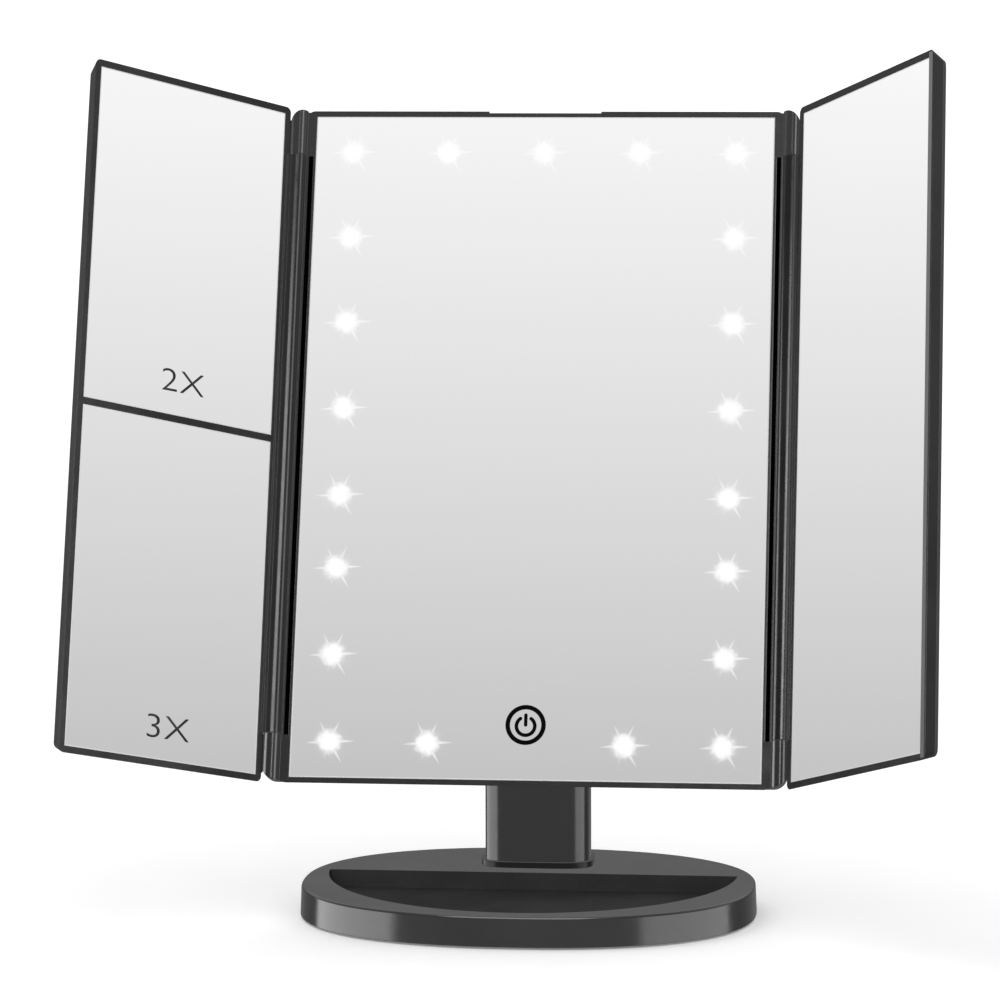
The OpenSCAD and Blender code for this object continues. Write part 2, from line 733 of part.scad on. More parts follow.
module rear_cover() {
    color(charcoal) in_panel() difference() {
        union() {
            difference() {
                union() {
                    flanged_block(split_y, bevel_y);
                    flanged_block(bevel_y, panel_back, bevel_in);
                    hump();
                }
                box(-cover_cavity_x, cover_cavity_x, split_y - 1, bevel_y, cover_cavity_low, cover_cavity_high);
            }
            cover_lip();
            box(-bay_x - bay_wall, bay_x + bay_wall, bay_floor - bay_wall, panel_back,
                bay_low - bay_wall, bay_high + bay_wall);
            for (s = [-1, 1]) mirror([s < 0 ? 1 : 0, 0, 0]) {
                ear();
                for (z = cover_screw_z) rod_y(cover_screw_x, z, split_y, bevel_y + eps, boss_r);
            }
            for (p = ctrl_posts) rod_y(p[0], p[1], ctrl_y + board_t, bevel_y + eps, ctrl_post_r);
            // thick pad that ties the two ears
            box(-ear_out, ear_out, panel_back - 1, pad_y, ear_low, ear_high);
        }
        // battery bay and the door's seat
        box(-bay_x, bay_x, bay_floor, hump_back + 1, bay_low, bay_high);
        box(-door_x - fit_gap, door_x + fit_gap, door_front, hump_back + 1, door_low - fit_gap, hump_high + 1);
        box(-door_x - tongue_w - fit_gap, door_x + tongue_w + fit_gap, door_front,
            door_front + tongue_t + fit_gap, door_low - fit_gap, hump_high + 1);
        rod_x(axis_depth, axis_height, -ear_out - 1, ear_out + 1, axle_r + fit_gap / 5);
        for (s = [-1, 1], z = cover_screw_z) {
            rod_y(s * cover_screw_x, z, split_y - 1, panel_back + 1, screw_r + run_gap);
            rod_y(s * cover_screw_x, z, bevel_y, panel_back + 1, head_r + fit_gap);
        }
        for (p = ctrl_posts) rod_y(p[0], p[1], ctrl_y, ctrl_bore_back, screw_r + run_gap);
        box(usb_x - usb_w / 2 - fit_gap, usb_x + usb_w / 2 + fit_gap, ctrl_y + board_t - 2 * lip_h,
            ctrl_y + board_t + usb_h + fit_gap, low_z - 1, cover_cavity_low + 1);
    }
}

module cover_screws() {
    color(steel) in_panel() for (s = [-1, 1], z = cover_screw_z)
        translate([s * cover_screw_x, bevel_y, z]) rotate([90, 0, 0])
            screw(bevel_y - boss_front - boss_skin - tip_room);
}

module battery_contacts() {
    color(steel) in_panel() for (i = [0:cells - 1]) {
        x = (i - (cells - 1) / 2) * cell_d;
        w = cell_d / 2 - 0.6;
        for (z = [bay_low, bay_high - contact_t])
            box(x - w, x + w, bay_floor, bay_floor + cell_d - 1.5, z, z + contact_t);
        tip = i % 2 == 0 ? bay_high - contact_t - 0.8 : bay_low + contact_t;
        translate([x, bay_floor + cell_d / 2, tip]) cylinder(h = 0.8, r = 2.2);
    }
}

// Ring of points round one place on a cone spring
function spring_ring(a, turns, r0, r1, h) = let (f = a / (360 * turns), r = r0 + (r1 - r0) * f)
    [for (k = [0:5]) [(r + spring_wire * cos(60 * k)) * cos(a), (r + spring_wire * cos(60 * k)) * sin(a),
        h * f + spring_wire * sin(60 * k)]];

module cone_spring(turns = 3.5, r0 = 3.6, r1 = 2, h = 5) {
    rings = floor(turns * 10);
    polyhedron(
        points = [for (j = [0:rings], p = spring_ring(j * 36, turns, r0, r1, h)) p],
        faces = concat([[for (k = [0:5]) 5 - k]], [[for (k = [0:5]) rings * 6 + k]],
            [for (j = [0:rings - 1], k = [0:5])
                [j * 6 + k, j * 6 + (k + 1) % 6, (j + 1) * 6 + (k + 1) % 6, (j + 1) * 6 + k]]));
}

module battery_springs() {
    color(steel) in_panel() for (i = [0:cells - 1]) {
        up = i % 2 == 0;
        z = up ? bay_low + contact_t + spring_wire : bay_high - contact_t - spring_wire;
        translate([(i - (cells - 1) / 2) * cell_d, bay_floor + cell_d / 2, z])
            rotate([up ? 0 : 180, 0, 0]) cone_spring();
    }
}

module battery_door() {
    color(charcoal) in_panel() {
        box(-door_x, door_x, door_front, hump_back, door_low, hump_high);
        box(-door_x - tongue_w, door_x + tongue_w, door_front, door_front + tongue_t, door_low, hump_high);
        for (i = [0:3])
            box(-8, 8, hump_back - eps, hump_back + 0.5, door_low + 6 + i * 2.4, door_low + 7.2 + i * 2.4);
    }
}

// ---- Hinges ----

module hinge_pin(side, top) {
    z = top ? high_z - pin_inset - pin_len : low_z + pin_inset;
    color(steel) in_panel() translate([side * hinge_x, -hinge_ahead, z + 0.2])
        cylinder(h = pin_len - 0.4, r = pin_r);
}

// ---- Wings ----

module wing_block(y0, y1, extra = 0) {
    i0 = inset(y0);
    i1 = inset(y1) + extra;
    loft_y(round_rect(wing_gap, wing_u1 - i0, wing_low + i0, wing_high - i0, corner_r), y0,
        round_rect(wing_gap + extra, wing_u1 - i1, wing_low + i1, wing_high - i1, corner_r), y1);
}

// Lower and upper edges of each pane's place
function pane_spans(split) = split ? [[0, pane_h], [pane_h + divider_w, glass_h]] : [[0, glass_h]];

module wing_frame(split) {
    difference() {
        union() {
            wing_block(-rim_proud, wing_split);
            translate([0, -hinge_ahead, barrel_low + seam_gap])
                cylinder(h = barrel_high - barrel_low - 2 * seam_gap, r = barrel_r);
            box(0, wing_gap + 1, -hinge_ahead, web_back, barrel_low + seam_gap, barrel_high - seam_gap);
        }
        for (s = pane_spans(split)) {
            box(wing_glass_u - fit_gap, wing_u1 - wing_rim + fit_gap, -rim_proud - 1, glass_t,
                s[0] - fit_gap, s[1] + fit_gap);
            box(wing_glass_u + wing_ledge, wing_u1 - wing_rim - wing_ledge, glass_t - 1, wing_split + 1,
                s[0] + wing_ledge, s[1] - wing_ledge);
        }
        translate([0, -hinge_ahead, 0]) pin_bores(pin_r + run_gap);
    }
}

// Rear shell; its ribs reach the back of a flat glass, or stop just behind the magnifying panes' domes
module wing_back(split) {
    rib_front = split ? glass_t + max(dome_rise(lens_r_2x), dome_rise(lens_r_3x)) + fit_gap : glass_t;
    u0 = wing_glass_u + wing_ledge + fit_gap;
    u1 = wing_u1 - wing_rim - wing_ledge - fit_gap;
    difference() {
        union() {
            wing_block(wing_split, wing_bevel);
            wing_block(wing_bevel, wing_depth, wing_edge);
        }
        for (s = pane_spans(split))
            box(u0, u1, wing_split - 1, wing_shell_front, s[0] + wing_ledge, s[1] - wing_ledge);
    }
    for (s = pane_spans(split)) {
        z0 = s[0] + wing_ledge + fit_gap;
        z1 = s[1] - wing_ledge - fit_gap;
        bays = round((z1 - z0) / rib_pitch);
        for (u = [u0, (u0 + u1) / 2 - rib_t / 2, u1 - rib_t])
            box(u, u + rib_t, rib_front, wing_shell_front + eps, z0, z1);
        for (i = [0:bays]) {
            z = z0 + (z1 - z0 - rib_t) * i / bays;
            box(u0, u1, rib_front, wing_shell_front + eps, z, z + rib_t);
        }
    }
}

// Height of a pane's dome of radius r in the middle
function dome_rise(r) = dome_edge + r - sqrt(r * r - pow(norm([dome_w, dome_h]) / 2, 2));

// Flat-faced pane whose back, inside the ledge, is a dome of radius r; silvered, the back is a hollow mirror
module magnifier(z0, r) {
    reach = norm([dome_w, dome_h]) / 2;
    steps = 10;
    top = glass_t + dome_rise(r) - r;
    dome = [for (i = [0:steps]) let (p = (reach + 1) * (1 - i / steps)) [p, top + sqrt(r * r - p * p)]];
    union() {
        box(wing_glass_u, wing_glass_u + wing_glass_w, 0, glass_t, z0, z0 + pane_h);
        translate([wing_glass_u + wing_glass_w / 2, 0, z0 + pane_h / 2]) intersection() {
            rotate([-90, 0, 0]) rotate_extrude($fn = 96)
                polygon(concat([[0, glass_t / 2], [reach + 1, glass_t / 2]], dome));
            box(-dome_w / 2, dome_w / 2, 0, wing_depth, -dome_h / 2, dome_h / 2);
        }
    }
}

module left_wing_frame() {
    color(charcoal) in_wing(-1) wing_frame(true);
}

module left_wing_back() {
    color(charcoal) in_wing(-1) wing_back(true);
}

module mirror_2x() {
    color(silver) in_wing(-1) magnifier(pane_h + divider_w, lens_r_2x);
}

module mirror_3x() {
    color(silver) in_wing(-1) magnifier(0, lens_r_3x);
}

module right_wing_frame() {
    color(charcoal) in_wing(1) wing_frame(false);
}

module right_wing_back() {
    color(charcoal) in_wing(1) wing_back(false);
}

module mirror_right() {
    color(silver) in_wing(1)
        box(wing_glass_u, wing_glass_u + wing_glass_w, 0, glass_t, 0, glass_h);
}

base_shell();
base_plate();
base_pad();
base_screws();
neck();
neck_screws();
tilt_axle();
tilt_nut();
tilt_washers();
centre_frame();
centre_mirror();
light_mask();
led_board();
leds();
touch_spring();
control_board();
usb_socket();
board_screws();
rear_cover();
cover_screws();
battery_contacts();
battery_springs();
battery_door();
hinge_pin(-1, true);  // hinge_pin_left_top
hinge_pin(-1, false);  // hinge_pin_left_bottom
hinge_pin(1, true);  // hinge_pin_right_top
hinge_pin(1, false);  // hinge_pin_right_bottom
left_wing_frame();
left_wing_back();
mirror_2x();
mirror_3x();
right_wing_frame();
right_wing_back();
mirror_right();
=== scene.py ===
"""Looks of a trifold vanity mirror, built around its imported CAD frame.

The mirror has a lit centre panel that tilts on a neck, two folding wings, and an oval base with a
tray. Every CAD part gets a procedural material. The base and the neck are shown by copies with smooth
normals. The printed signs, the glow of the LEDs and small trim are added here.
"""
import json
import math

import bmesh
import bpy
from mathutils import Matrix, Vector

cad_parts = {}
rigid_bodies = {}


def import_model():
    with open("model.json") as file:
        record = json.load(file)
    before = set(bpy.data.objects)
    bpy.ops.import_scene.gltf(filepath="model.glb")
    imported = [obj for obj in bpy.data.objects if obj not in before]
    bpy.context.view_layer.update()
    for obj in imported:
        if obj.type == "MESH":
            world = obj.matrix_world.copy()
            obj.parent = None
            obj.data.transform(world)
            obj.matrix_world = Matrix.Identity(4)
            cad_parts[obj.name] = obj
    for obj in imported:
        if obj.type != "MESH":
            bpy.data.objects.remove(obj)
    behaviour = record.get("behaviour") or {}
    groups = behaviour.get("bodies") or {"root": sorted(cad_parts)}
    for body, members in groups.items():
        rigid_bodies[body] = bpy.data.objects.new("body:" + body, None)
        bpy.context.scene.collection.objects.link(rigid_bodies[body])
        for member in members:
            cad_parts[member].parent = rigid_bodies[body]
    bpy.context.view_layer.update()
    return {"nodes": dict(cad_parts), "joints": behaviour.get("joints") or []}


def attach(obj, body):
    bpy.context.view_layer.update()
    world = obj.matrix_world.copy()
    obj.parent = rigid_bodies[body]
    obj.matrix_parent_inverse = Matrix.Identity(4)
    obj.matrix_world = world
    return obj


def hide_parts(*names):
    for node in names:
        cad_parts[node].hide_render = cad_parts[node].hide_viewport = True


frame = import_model()

MM = 0.001
NODES = frame["nodes"]
JOINTS = {joint["name"]: joint for joint in frame["joints"]}
SCENE = bpy.context.scene

# ---- Camera, from the photograph's perspective ----
CAMERA_AZIMUTH = math.radians(5.824)
CAMERA_ELEVATION = math.radians(6.356)
CAMERA_ROLL = math.radians(-0.132)
CAMERA_DISTANCE = 1.59144
CAMERA_AIM = Vector((0.975 * MM, 0.0, 155.632 * MM))
FOCAL_IN_FRAMES = 4.684192      # focal length as a multiple of the frame's width
SENSOR_WIDTH = 36.0
SHIFT_X = -0.030531
SHIFT_Y = -0.037836

# ---- Places on the object, in millimetres, as in the CAD ----
GLASS_W = 161.0                 # centre glass
GLASS_H = 235.0
HINGE_X = 86.6                  # hinge axes: away from the middle, and ahead of the glass face
HINGE_AHEAD = 1.2
AXIS_DEPTH = 29.1               # tilt axis: behind the glass face, and above the glass's lower edge
AXIS_HEIGHT = 29.5
WING_GLASS_IN = 5.5             # wing glass: away from the hinge axis, and width
WING_GLASS_W = 77.0
PANE_H = 116.25                 # lower magnifying pane, and the bar above it
DIVIDER_W = 2.5
PANEL_SPLIT = 9.0               # depth of the parting line on the panel's sides, and on a wing's
WING_SPLIT = 4.6
RIM_PROUD = 0.2                 # how far the rims stand in front of the glass
BASE_TOP = 10.95
FOOT_H = 2.0                    # the neck's foot flange
TRAY_DEPTH = 6.0
TRAY_BACK = 14.6                # y of the tray's straight back wall
TRAY_HALF = 70.9                # half axes and centre of the tray's front arc
TRAY_REACH = 69.9
TRAY_ARC_Y = 16.9

# ---- LEDs and signs on the glass, in millimetres from its lower middle ----
LED_COLUMN_PITCH = 33.6
LED_TOP = 222.0
LED_PITCH_UPPER = 30.8
LED_LOW = 12.4
LED_PITCH_LOWER = 30.4
LED_MIDDLE = 86.0               # between the upper and the lower run
CORE = 2.5, 5.3                 # a core is full up to the first radius and gone at the second
HALO = 3.2, 7.0
HALO_GAIN = 0.1
LUMP_SCALE = 520.0              # noise that makes the cores uneven, and how far it moves their edge
LUMP_REACH = 2.3
STAR_GLINT_RAYS = (                   # painted star glint rays round each LED: angle in degrees, length in millimetres, strength
    (2.0, 9.0, 1.0), (184.0, 8.4, 0.9), (65.0, 8.0, 0.8), (116.0, 8.0, 0.8), (255.0, 6.6, 0.55),
    (302.0, 8.8, 0.9))
RAY_TIP = 0.15                  # half width of a painted glint ray at its end, and what its start adds to that
RAY_ROOT = 1.3
RAY_FADE = 0.5
TOUCH_Z = 19.1
TOUCH_RING = 6.9, 5.35          # outer and inner radius
POWER_ARC = 3.15, 0.62          # radius and half width
POWER_ARC_ENDS = 125, 415       # in degrees
POWER_ARC_DROP = 0.4            # how far its centre lies below the ring's
POWER_BAR = 3.4, 0.6            # length and half width
SIGN_T = 0.04
SIGN_2X = -42.73, 130.75, 17.35, 7.8    # middle across and up, width and height
SIGN_3X = -41.84, 11.2, 17.1, 8.0
LETTER_THIN = -0.012            # makes the font's strokes thinner, in parts of its size

# ---- Trim and painted shade strips, in millimetres in its panel's frame ----
SLOT_LOW = 14.55                # ends of the slots beside the centre glass
SLOT_HIGH = 220.45
SLOT_SHADE_STRIPS = (("left", -82.9, -81.4), ("right", 81.5, 82.95))    # side, and a painted shade strip's two edges
SLOT_SHADE_PROUD = 0.05           # how far a painted shade strip stands in front of the rims
SLOT_SHADE_SOFTEN = 0.02
FLAP_IN = 1.25                  # hinge flaps: reach from the axis, back face behind it, and thickness
FLAP_OUT = 3.6
FLAP_BACK = 3.29
FLAP_T = 0.22
FLAP_SOFTEN = 0.05
FLAP_ENDS = (("bottom", 1.3, 14.7), ("top", 220.3, 233.7))      # lower and upper edge
OUTER_LIP_IN = 82.62            # right wing's outer lip: edges away from the hinge axis's foot
OUTER_LIP_OUT = 84.3
OUTER_LIP_PEAK = 0.42           # how far it stands in front of the rim at those edges
OUTER_LIP_EDGE = 0.02
OUTER_LIP_ROOT = 0.1            # its back, in front of the glass
OUTER_LIP_PAST = 1.7            # how far it runs past the glass at both ends
OUTER_LIP_SOFTEN = 0.06

# ---- Looks ----
CHARCOAL = (0.003, 0.003, 0.0032), (0.0065, 0.0065, 0.0068)     # dark and light end of a colour
REAR_CHARCOAL = (0.006, 0.006, 0.0062), (0.013, 0.013, 0.0133)
POLISHED = 0.14, 0.22           # least and most roughness
SATIN = 0.16, 0.26
MATT = 0.32, 0.46
COARSE = {"grain": 1100.0, "strength": 0.35}
INK_ROUGHNESS = 0.3, 0.45
GLASS_EDGE_W = 0.4              # pale band inside a pane's edges, partly a ground edge and partly a painted highlight, in millimetres, and its roughness
GLASS_EDGE_ROUGH = 0.25
SEAM_W = 0.16                   # half width of a parting line, in millimetres
SEAM_GROOVE = 3.0               # its depth, in parts of the grain's height
SMOOTH_LIMIT = 38.0             # faces that turn less than this share their normals, in degrees
TRAY_ARC_SLACK = 1.015          # what counts as tray ends here, where its front arc itself is at 1

# ---- Room that the mirrors show, as brightness ----
GRADIENT_FOOT = 0.134           # square to the panels' up axis, before the limits below
GRADIENT_SLOPE = 2.655          # and its growth along that axis
ROOM_LEAST = 0.35
ROOM_MOST = 1.0
BEHIND = 0.24                   # low behind the object
FLOOR_SHOWN = 0.85              # on the floor in front of it
AMBIENT = 0.95                  # what lights matt surfaces

# ---- Floor and sun ----
FLOOR_HALF = 30.0
FLOOR_LIFT = 0.15               # light that the floor sends to the camera alone
SUN_STRENGTH = 0.5
SUN_WIDTH = 35.0                # in degrees
SUN_FROM = (-0.55, 0.35, 1.0)

# ---- Frames of the three panels ----
UP = Vector(JOINTS["left_wing_fold"]["axis"]).normalized()
ACROSS = Vector((1.0, 0.0, 0.0))
BACK = UP.cross(ACROSS)
PIVOT = Vector(JOINTS["panel_tilt"]["pos_m"])
PANEL_ORIGIN = PIVOT - BACK * AXIS_DEPTH * MM - UP * AXIS_HEIGHT * MM


def frame_matrix(origin, across, back, up):
    matrix = Matrix((across, back, up)).transposed().to_4x4()
    matrix.translation = origin
    return matrix


PANEL = frame_matrix(PANEL_ORIGIN, ACROSS, BACK, UP)


def wing_matrix(side):
    """Frame of a wing's glass: X to the viewer's right, Y into the glass, from the hinge axis's foot."""
    joint = JOINTS["left_wing_fold" if side < 0 else "right_wing_fold"]
    angle = math.radians(-joint["range_deg"][0])
    across = Vector((math.cos(angle), -side * math.sin(angle), 0.0))
    back = Vector((side * math.sin(angle), math.cos(angle), 0.0))
    foot = Vector((side * HINGE_X, -HINGE_AHEAD, 0.0)) + HINGE_AHEAD * back
    turn = PANEL.to_3x3()
    return frame_matrix(PANEL @ (foot * MM), turn @ across, turn @ back, UP)


LEFT = wing_matrix(-1)
RIGHT = wing_matrix(1)


# ---- Node helpers ----

def feed(tree, socket, value):
    if isinstance(value, bpy.types.NodeSocket):
        tree.links.new(value, socket)
    elif value is not None:
        socket.default_value = value


def maths(tree, operation, a, b=None, c=None, clamp=False):
    node = tree.nodes.new("ShaderNodeMath")
    node.operation = operation
    node.use_clamp = clamp
    for socket, value in zip(node.inputs, (a, b, c)):
        feed(tree, socket, value)
    return node.outputs[0]


def vector_maths(tree, operation, a, b=None):
    node = tree.nodes.new("ShaderNodeVectorMath")
    node.operation = operation
    feed(tree, node.inputs[0], a)
    feed(tree, node.inputs[1], b)
    return node.outputs["Value" if operation == "DOT_PRODUCT" else "Vector"]


def span(tree, value, low, high, to_low=0.0, to_high=1.0, kind="SMOOTHSTEP"):
    node = tree.nodes.new("ShaderNodeMapRange")
    node.interpolation_type = kind
    for name, item in (("Value", value), ("From Min", low), ("From Max", high),
                       ("To Min", to_low), ("To Max", to_high)):
        feed(tree, node.inputs[name], item)
    return node.outputs["Result"]


def noise(tree, vector, scale, detail=2.0):
    node = tree.nodes.new("ShaderNodeTexNoise")
    feed(tree, node.inputs["Vector"], vector)
    feed(tree, node.inputs["Scale"], scale)
    node.inputs["Detail"].default_value = detail
    return node.outputs["Fac"]


def mix_colour(tree, factor, a, b):
    node = tree.nodes.new("ShaderNodeMix")
    node.data_type = "RGBA"
    feed(tree, node.inputs["Factor"], factor)
    feed(tree, node.inputs[6], a)
    feed(tree, node.inputs[7], b)
    return node.outputs[2]


def object_place(tree):
    return tree.nodes.new("ShaderNodeTexCoord").outputs["Object"]


def new_group(name, inputs, outputs):
    tree = bpy.data.node_groups.new(name, "ShaderNodeTree")
    kinds = {"value": "NodeSocketFloat", "vector": "NodeSocketVector", "colour": "NodeSocketColor"}
    for label, kind in inputs:
        tree.interface.new_socket(label, in_out="INPUT", socket_type=kinds[kind])
    for label, kind in outputs:
        tree.interface.new_socket(label, in_out="OUTPUT", socket_type=kinds[kind])
    given = tree.nodes.new("NodeGroupInput").outputs
    result = tree.nodes.new("NodeGroupOutput").inputs
    return tree, given, result


def use_group(tree, group, **values):
    node = tree.nodes.new("ShaderNodeGroup")
    node.node_tree = group
    for label, value in values.items():
        feed(tree, node.inputs[label.replace("_", " ")], value)
    return node.outputs


# ---- Shared effects ----

def grain_group():
    """Colour, roughness and height of moulded plastic: fine grain, soft blotches and faint wear."""
    tree, given, result = new_group(
        "moulded_grain",
        [("Dark", "colour"), ("Light", "colour"), ("Smooth", "value"), ("Rough", "value"),
         ("Grain", "value")],
        [("Color", "colour"), ("Roughness", "value"), ("Height", "value")])
    place = object_place(tree)
    fine = noise(tree, place, given["Grain"], 3.0)
    cloud = noise(tree, place, 38.0, 4.0)
    streak = noise(tree, place, 240.0, 1.0)
    shade = maths(tree, "ADD", maths(tree, "MULTIPLY", cloud, 0.75), maths(tree, "MULTIPLY", fine, 0.25))
    feed(tree, result["Color"], mix_colour(tree, span(tree, shade, 0.3, 0.7), given["Dark"], given["Light"]))
    wear = maths(tree, "ADD", maths(tree, "MULTIPLY", cloud, 0.6), maths(tree, "MULTIPLY", streak, 0.4))
    feed(tree, result["Roughness"], span(tree, wear, 0.3, 0.7, given["Smooth"], given["Rough"]))
    feed(tree, result["Height"], fine)
    return tree


def place_group():
    """Distances in millimetres across, into and up a panel whose frame is given."""
    tree, given, result = new_group(
        "panel_place",
        [("Origin", "vector"), ("Across", "vector"), ("Back", "vector"), ("Up", "vector")],
        [("U", "value"), ("Depth", "value"), ("V", "value")])
    away = vector_maths(tree, "SUBTRACT", object_place(tree), given["Origin"])
    for label, axis in (("U", "Across"), ("Depth", "Back"), ("V", "Up")):
        metres = vector_maths(tree, "DOT_PRODUCT", away, given[axis])
        feed(tree, result[label], maths(tree, "DIVIDE", metres, MM))
    return tree


def glint_ray_group():
    """One tapering ray of a painted star glint round a point of light, from the middle outwards."""
    tree, given, result = new_group(
        "painted_glint_ray",
        [("X", "value"), ("Z", "value"), ("Angle", "value"), ("Length", "value"), ("Gain", "value")],
        [("Value", "value")])
    cosine = maths(tree, "COSINE", given["Angle"])
    sine = maths(tree, "SINE", given["Angle"])
    along = maths(tree, "ADD", maths(tree, "MULTIPLY", given["X"], cosine),
                  maths(tree, "MULTIPLY", given["Z"], sine))
    aside = maths(tree, "ABSOLUTE", maths(tree, "SUBTRACT", maths(tree, "MULTIPLY", given["Z"], cosine),
                                          maths(tree, "MULTIPLY", given["X"], sine)))
    left = maths(tree, "SUBTRACT", 1.0, maths(tree, "DIVIDE", along, given["Length"]), clamp=True)
    width = maths(tree, "ADD", maths(tree, "MULTIPLY", left, RAY_ROOT), RAY_TIP)
    body = span(tree, maths(tree, "DIVIDE", aside, width), 0.2, 1.0, 1.0, 0.0)
    ahead = maths(tree, "GREATER_THAN", along, 0.0)
    fade = maths(tree, "POWER", left, RAY_FADE)
    feed(tree, result["Value"], maths(tree, "MULTIPLY", maths(tree, "MULTIPLY", body, ahead),
                                      maths(tree, "MULTIPLY", fade, given["Gain"])))
    return tree


def glow_group(ray):
    """Cover of the 21 frosted windows' glow, 1 at a core and fading through a halo, with six painted star
    glint rays round each.
    """
    tree, given, result = new_group("led_glow", [("U", "value"), ("V", "value")], [("Value", "value")])
    u, v = given["U"], given["V"]
    column = maths(tree, "ROUND", maths(tree, "DIVIDE", u, LED_COLUMN_PITCH))
    column = maths(tree, "MINIMUM", maths(tree, "MAXIMUM", column, -2.0), 2.0)
    x = maths(tree, "SUBTRACT", u, maths(tree, "MULTIPLY", column, LED_COLUMN_PITCH))
    outer = maths(tree, "COMPARE", maths(tree, "ABSOLUTE", column), 2.0, 0.1)
    inner = maths(tree, "COMPARE", maths(tree, "ABSOLUTE", column), 1.0, 0.1)

    def run(start, pitch, rows):
        row = maths(tree, "ROUND", maths(tree, "DIVIDE", maths(tree, "SUBTRACT", v, start), pitch))
        row = maths(tree, "MINIMUM", maths(tree, "MAXIMUM", row, 0.0), rows)
        away = maths(tree, "SUBTRACT", v, maths(tree, "ADD", maths(tree, "MULTIPLY", row, pitch), start))
        return away, maths(tree, "COMPARE", row, 0.0, 0.1)

    z_up, top_row = run(LED_TOP, -LED_PITCH_UPPER, 4.0)
    z_low, bottom_row = run(LED_LOW, LED_PITCH_LOWER, 2.0)
    upper = maths(tree, "GREATER_THAN", v, LED_MIDDLE)

    def either(a, b):
        return maths(tree, "ADD", maths(tree, "MULTIPLY", a, upper),
                     maths(tree, "MULTIPLY", b, maths(tree, "SUBTRACT", 1.0, upper)))

    z = either(z_up, z_low)
    lit = either(maths(tree, "MAXIMUM", outer, top_row),
                 maths(tree, "MAXIMUM", outer, maths(tree, "MULTIPLY", inner, bottom_row)))
    squares = maths(tree, "ADD", maths(tree, "MULTIPLY", x, x), maths(tree, "MULTIPLY", z, z))
    distance = maths(tree, "SQRT", squares)
    lumps = maths(tree, "SUBTRACT", noise(tree, object_place(tree), LUMP_SCALE, 1.0), 0.5)
    distance = maths(tree, "ADD", distance, maths(tree, "MULTIPLY", lumps, LUMP_REACH))
    core = span(tree, distance, *CORE, 1.0, 0.0)
    halo = span(tree, distance, *HALO, HALO_GAIN, 0.0)
    light = maths(tree, "MAXIMUM", core, halo)
    for angle, length, gain in STAR_GLINT_RAYS:
        glint_ray = use_group(tree, ray, X=x, Z=z, Angle=math.radians(angle), Length=length, Gain=gain)["Value"]
        light = maths(tree, "MAXIMUM", light, glint_ray)
    feed(tree, result["Value"], maths(tree, "MULTIPLY", light, lit))
    return tree


def edge_group():
    """1 in a narrow band inside a pane's edges, and 0 elsewhere."""
    tree, given, result = new_group(
        "edge_band", [("U", "value"), ("V", "value"), ("U low", "value"), ("U high", "value"),
                      ("V low", "value"), ("V high", "value"), ("Width", "value")], [("Value", "value")])
    near = maths(tree, "SUBTRACT", given["U"], given["U low"])
    for a, b in (("U high", "U"), ("V", "V low"), ("V high", "V")):
        near = maths(tree, "MINIMUM", near, maths(tree, "SUBTRACT", given[a], given[b]))
    feed(tree, result["Value"], maths(tree, "LESS_THAN", near, given["Width"]))
    return tree


def seam_group():
    """1 in the parting line where two mouldings meet at a given depth."""
    tree, given, result = new_group(
        "parting_line", [("Depth", "value"), ("At", "value"), ("Width", "value")], [("Value", "value")])
    away = maths(tree, "ABSOLUTE", maths(tree, "SUBTRACT", given["Depth"], given["At"]))
    feed(tree, result["Value"], span(tree, maths(tree, "DIVIDE", away, given["Width"]), 0.6, 1.0, 1.0, 0.0))
    return tree


def smudge_group():
    """Faint roughness of wiped glass."""
    tree, given, result = new_group(
        "wiped_glass", [("Least", "value"), ("Most", "value")], [("Roughness", "value")])
    cloud = noise(tree, object_place(tree), 30.0, 5.0)
    feed(tree, result["Roughness"], span(tree, cloud, 0.35, 0.75, given["Least"], given["Most"]))
    return tree


def brushed_group():
    """Colour, roughness and height of drawn or turned metal."""
    tree, given, result = new_group(
        "drawn_metal", [("Dark", "colour"), ("Light", "colour"), ("Stretch", "vector")],
        [("Color", "colour"), ("Roughness", "value"), ("Height", "value")])
    lines = noise(tree, vector_maths(tree, "MULTIPLY", object_place(tree), given["Stretch"]), 1.0, 3.0)
    feed(tree, result["Color"], mix_colour(tree, span(tree, lines, 0.3, 0.7), given["Dark"], given["Light"]))
    feed(tree, result["Roughness"], span(tree, lines, 0.3, 0.7, 0.22, 0.4))
    feed(tree, result["Height"], lines)
    return tree


GRAIN = grain_group()
PLACE = place_group()
GLOW = glow_group(glint_ray_group())
EDGE = edge_group()
SEAM = seam_group()
SMUDGE = smudge_group()
BRUSHED = brushed_group()


# ---- Materials ----

def new_material(name, **values):
    material = bpy.data.materials.new(name)
    material.use_nodes = True
    tree = material.node_tree
    shader = tree.nodes["Principled BSDF"]
    for label, value in values.items():
        shader.inputs[label.replace("_", " ")].default_value = value
    return material, tree, shader


def add_bump(tree, shader, height, strength, distance, edge_radius=0.0):
    bump = tree.nodes.new("ShaderNodeBump")
    bump.inputs["Strength"].default_value = strength
    bump.inputs["Distance"].default_value = distance
    feed(tree, bump.inputs["Height"], height)
    if edge_radius:
        rounding = tree.nodes.new("ShaderNodeBevel")
        rounding.samples = 6
        rounding.inputs["Radius"].default_value = edge_radius
        feed(tree, bump.inputs["Normal"], rounding.outputs["Normal"])
    feed(tree, shader.inputs["Normal"], bump.outputs["Normal"])


def at_panel(tree, matrix):
    origin, across, back, up = (matrix.translation, *(matrix.col[i].to_3d() for i in range(3)))
    return use_group(tree, PLACE, Origin=origin, Across=across, Back=back, Up=up)


